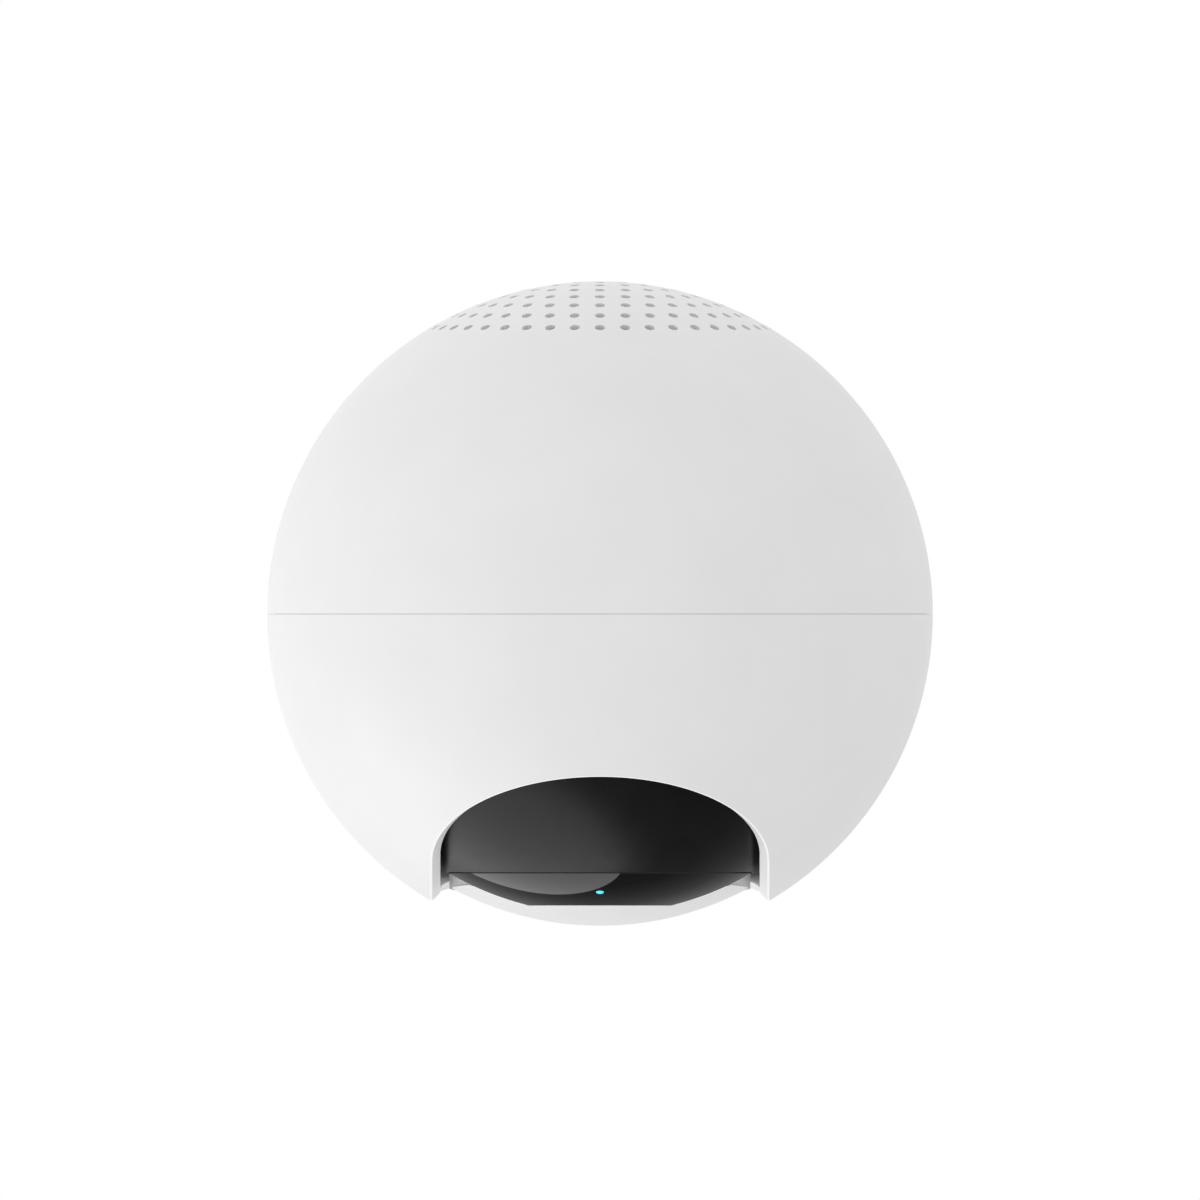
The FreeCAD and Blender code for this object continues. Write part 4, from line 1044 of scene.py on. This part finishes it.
def open_edge(skin, corner, over, into, length, steps=EDGE_STEPS):
    """Rounds an open edge of the inner ball; returns its rows of points."""
    face_normal = -unit(into - (into * over).sum(1, keepdims=True) * over)
    wall_normal = -unit(over - (over * into).sum(1, keepdims=True) * into)
    half = np.arccos(np.clip((over * into).sum(1), -1, 1)) / 2
    bulge = (length * np.tan(half))[:, None]
    centre = corner + unit(over + into) * (length / np.cos(half))[:, None]
    rows = []
    normals = []
    for step in range(steps + 1):
        share = step / steps
        normal = unit(face_normal * (1 - share) + wall_normal * share)
        row = centre + normal * bulge
        rows.append(unit(row) * CORE if step == 0 else row)
        normals.append(normal)
    # the rounded edge gets the painted highlight (rim=1.0)
    skin.add_rows(rows, normals, closed=False, rim=1.0)
    return rows


def sensor_window():
    """Gloss pane flush with the inner ball, with a hole for the light."""
    skin = Skin()
    cut = FRONT_CUT + WINDOW_GAP
    low = WINDOW_LOW + WINDOW_GAP
    lower, right, upper, left = notch_edge(CORE, cut, low, WINDOW_HIGH)
    outline = np.concatenate((lower, right, upper, left))
    axis = (0.0, -math.sin(LIGHT_TILT), -math.cos(LIGHT_TILT))
    hole, away = circle_about(axis, LIGHT_HOLE, CORE, LENS_SIDES)
    hole_in, away_in = circle_about(axis, LIGHT_HOLE, WINDOW_INNER, LENS_SIDES)
    direction = unit(axis)

    def part(directions):
        point = directions * CORE
        within = (point[:, 1] < -cut) & (point[:, 2] > low) & (point[:, 2] < WINDOW_HIGH)
        return within & ((directions @ direction) < math.cos(LIGHT_HOLE / CORE))

    ball_patch(skin, CORE, [outline, hole], part, WINDOW_SPACING, -1)
    skin.add_rows([hole, hole_in], [-away, -away_in])
    inner = outline.copy()
    inner[:, :2] *= (WINDOW_INNER / CORE)
    inner[:, 1] = np.minimum(inner[:, 1], -cut)
    edge_normals = []
    for point in outline:
        if abs(point[2] - WINDOW_HIGH) < LEVEL_TOLERANCE:
            edge_normals.append((0, 0, 1))
        elif abs(point[2] - low) < LEVEL_TOLERANCE:
            edge_normals.append((0, 0, -1))
        else:
            edge_normals.append((0, 1, 0))
    skin.add_rows([outline, inner], [edge_normals, edge_normals])
    corner_low = math.sqrt(CORE ** 2 - cut ** 2 - low ** 2)
    corner_high = math.sqrt(CORE ** 2 - cut ** 2 - WINDOW_HIGH ** 2)
    skin.add_rows([[(-corner_low, -cut, low), (corner_low, -cut, low)],
                   [(-corner_high, -cut, WINDOW_HIGH), (corner_high, -cut, WINDOW_HIGH)]],
                  [[(0, 1, 0)] * 2] * 2, closed=False)
    skin.build("sensor_window_skin", "window_black", "base", "sensor_window")


def foot():
    """Soft pad under the cap that carries on its round outline."""
    skin = Skin()
    edge = FOOT_RADIUS - FOOT_GAP
    level = -math.sqrt(CORE ** 2 - edge ** 2)
    lathe(skin, ball_arc(CORE, -CORE * FOOT_TIP, level, FOOT_STEPS), FOOT_SIDES)
    lathe(skin, flat_run((edge, level), (edge, FOOT_LEVEL), (1, 0)), FOOT_SIDES)
    lathe(skin, flat_run((edge, FOOT_LEVEL), (AXIS_GAP, FOOT_LEVEL), (0, 1)), FOOT_SIDES)
    skin.build("foot_pad_skin", "rubber_white", "base", "foot_pad")


def light_lens():
    """Round end of the light pipe, slightly below the pane."""
    skin = Skin()
    low = CORE_INNER + LENS_SUNK
    axis = np.array((0.0, -math.sin(LIGHT_TILT), -math.cos(LIGHT_TILT)))
    side = np.array((1.0, 0.0, 0.0))
    up = np.cross(axis, side)
    turn = np.arange(LENS_SIDES) * 2 * math.pi / LENS_SIDES
    away = np.cos(turn)[:, None] * side + np.sin(turn)[:, None] * up
    edge = CORE - LENS_DOME
    skin.add_rows([axis * low + away * LENS_RADIUS, axis * edge + away * LENS_RADIUS],
                  [away, away])
    rows = []
    normals = []
    for share in np.linspace(0, 1, LENS_STEPS + 1):
        angle = share * math.pi / 2
        rows.append(axis * (edge + LENS_DOME * math.sin(angle))
                    + away * LENS_RADIUS * max(math.cos(angle), AXIS_GAP))
        normals.append(away * math.cos(angle) * LENS_DOME
                       + axis * math.sin(angle) * LENS_RADIUS)
    skin.add_rows(rows, normals)
    skin.add_rows([axis * low + away * LENS_RADIUS, axis * low + away * AXIS_GAP],
                  [-axis + 0 * away] * 2)
    skin.build("light_lens", "light_cyan", "base", "light_pipe")


# ---------------------------------------------------------- floor and light

def studio():
    """Pale floor, bright even surroundings and soft lamps."""
    floor_mesh = bpy.data.meshes.new("floor")
    corners = [(-FLOOR_REACH, -FLOOR_REACH, 0), (FLOOR_REACH, -FLOOR_REACH, 0),
               (FLOOR_REACH, FLOOR_REACH, 0), (-FLOOR_REACH, FLOOR_REACH, 0)]
    floor_mesh.from_pydata(corners, [], [(0, 1, 2, 3)])
    floor = bpy.data.objects.new("floor", floor_mesh)
    bpy.context.scene.collection.objects.link(floor)
    made, tree, shader, place = new_material("floor")
    tone = between(tree, noise(tree, place, scale=3.0), (0.84, 0.84, 0.84),
                   (0.86, 0.86, 0.86))
    tree.links.new(tone, shader.inputs["Base Color"])
    shader.inputs["Roughness"].default_value = 0.8
    floor_mesh.materials.append(made)
    # light from below passes through the floor, as on a light table
    floor.visible_diffuse = False
    floor.visible_glossy = False
    floor.visible_shadow = False
    surroundings()
    underlight = lamp("underlight", UNDERLIGHT_PLACE, (0.0, 0.0, 0.0), UNDERLIGHT_SIZE,
                      UNDERLIGHT_RADIANCE)
    underlight.visible_glossy = False
    place = SHEEN_TARGET + Vector(SHEEN_DIRECTION).normalized() * SHEEN_DISTANCE
    size = 2 * SHEEN_DISTANCE * math.tan(SHEEN_HALF_ANGLE)
    sheen = lamp("sheen", place, SHEEN_TARGET, size, SHEEN_RADIANCE, "DISK")
    sheen.visible_diffuse = False
    fill = lamp("fill", FILL_PLACE, CENTRE, FILL_SIZE, FILL_RADIANCE)
    fill.visible_glossy = False


def surroundings():
    """Even light from all sides, a little stronger from the left, dark below."""
    world = bpy.data.worlds.new("studio")
    bpy.context.scene.world = world
    world.use_nodes = True
    tree = world.node_tree
    background = tree.nodes["Background"]
    background.inputs["Color"].default_value = (1.0, 1.0, 1.0, 1.0)
    direction = tree.nodes.new("ShaderNodeTexCoord").outputs["Generated"]
    parts = tree.nodes.new("ShaderNodeSeparateXYZ")
    tree.links.new(direction, parts.inputs["Vector"])
    height = tree.nodes.new("ShaderNodeMapRange")
    height.inputs["From Min"].default_value = -1.0
    tree.links.new(parts.outputs["Z"], height.inputs["Value"])
    ramp = tree.nodes.new("ShaderNodeValToRGB")
    elements = ramp.color_ramp.elements
    for index, (level, amount) in enumerate(WORLD_LEVELS):
        element = elements[index] if index < 2 else elements.new((level + 1) / 2)
        element.position = (level + 1) / 2
        element.color = (amount, amount, amount, 1)
    tree.links.new(height.outputs["Result"], ramp.inputs["Fac"])
    lean = tree.nodes.new("ShaderNodeVectorMath")
    lean.operation = "DOT_PRODUCT"
    lean.inputs[1].default_value = WORLD_LEAN
    tree.links.new(direction, lean.inputs[0])
    base = tree.nodes.new("ShaderNodeMath")
    base.inputs[1].default_value = 1.0 - WORLD_LEAN[1]
    tree.links.new(lean.outputs["Value"], base.inputs[0])
    total = tree.nodes.new("ShaderNodeMath")
    total.operation = "MULTIPLY"
    tree.links.new(base.outputs[0], total.inputs[0])
    tree.links.new(ramp.outputs["Color"], total.inputs[1])
    tree.links.new(total.outputs[0], background.inputs["Strength"])


def lamp(name, place, target, size, radiance, shape="SQUARE"):
    """A flat lamp that faces a point and shines with an even radiance."""
    data = bpy.data.lights.new(name, "AREA")
    data.shape = shape
    data.size = size
    area = size * size if shape == "SQUARE" else math.pi * size * size / 4
    data.energy = radiance * math.pi * area
    piece = bpy.data.objects.new(name, data)
    piece.location = place
    facing = Vector(target) - Vector(place)
    piece.rotation_euler = facing.to_track_quat("-Z", "Y").to_euler()
    bpy.context.scene.collection.objects.link(piece)
    piece.visible_camera = False
    return piece


def camera():
    """Level view from the front, without perspective, as photographed."""
    data = bpy.data.cameras.new("camera")
    data.type = "ORTHO"
    data.ortho_scale = CAMERA_SPAN
    piece = bpy.data.objects.new("camera", data)
    piece.location = (0.0, -CAMERA_DISTANCE, CENTRE.z + CAMERA_LIFT)
    piece.rotation_euler = (math.radians(90), 0, 0)
    bpy.context.scene.collection.objects.link(piece)
    bpy.context.scene.camera = piece


camera()
studio()
finish_cad_nodes()
upper_shell()
lower_shell()
core_cover()
cover_underside()
core_cap()
foot()
sensor_window()
light_lens()

bpy.context.scene.view_settings.view_transform = "Standard"
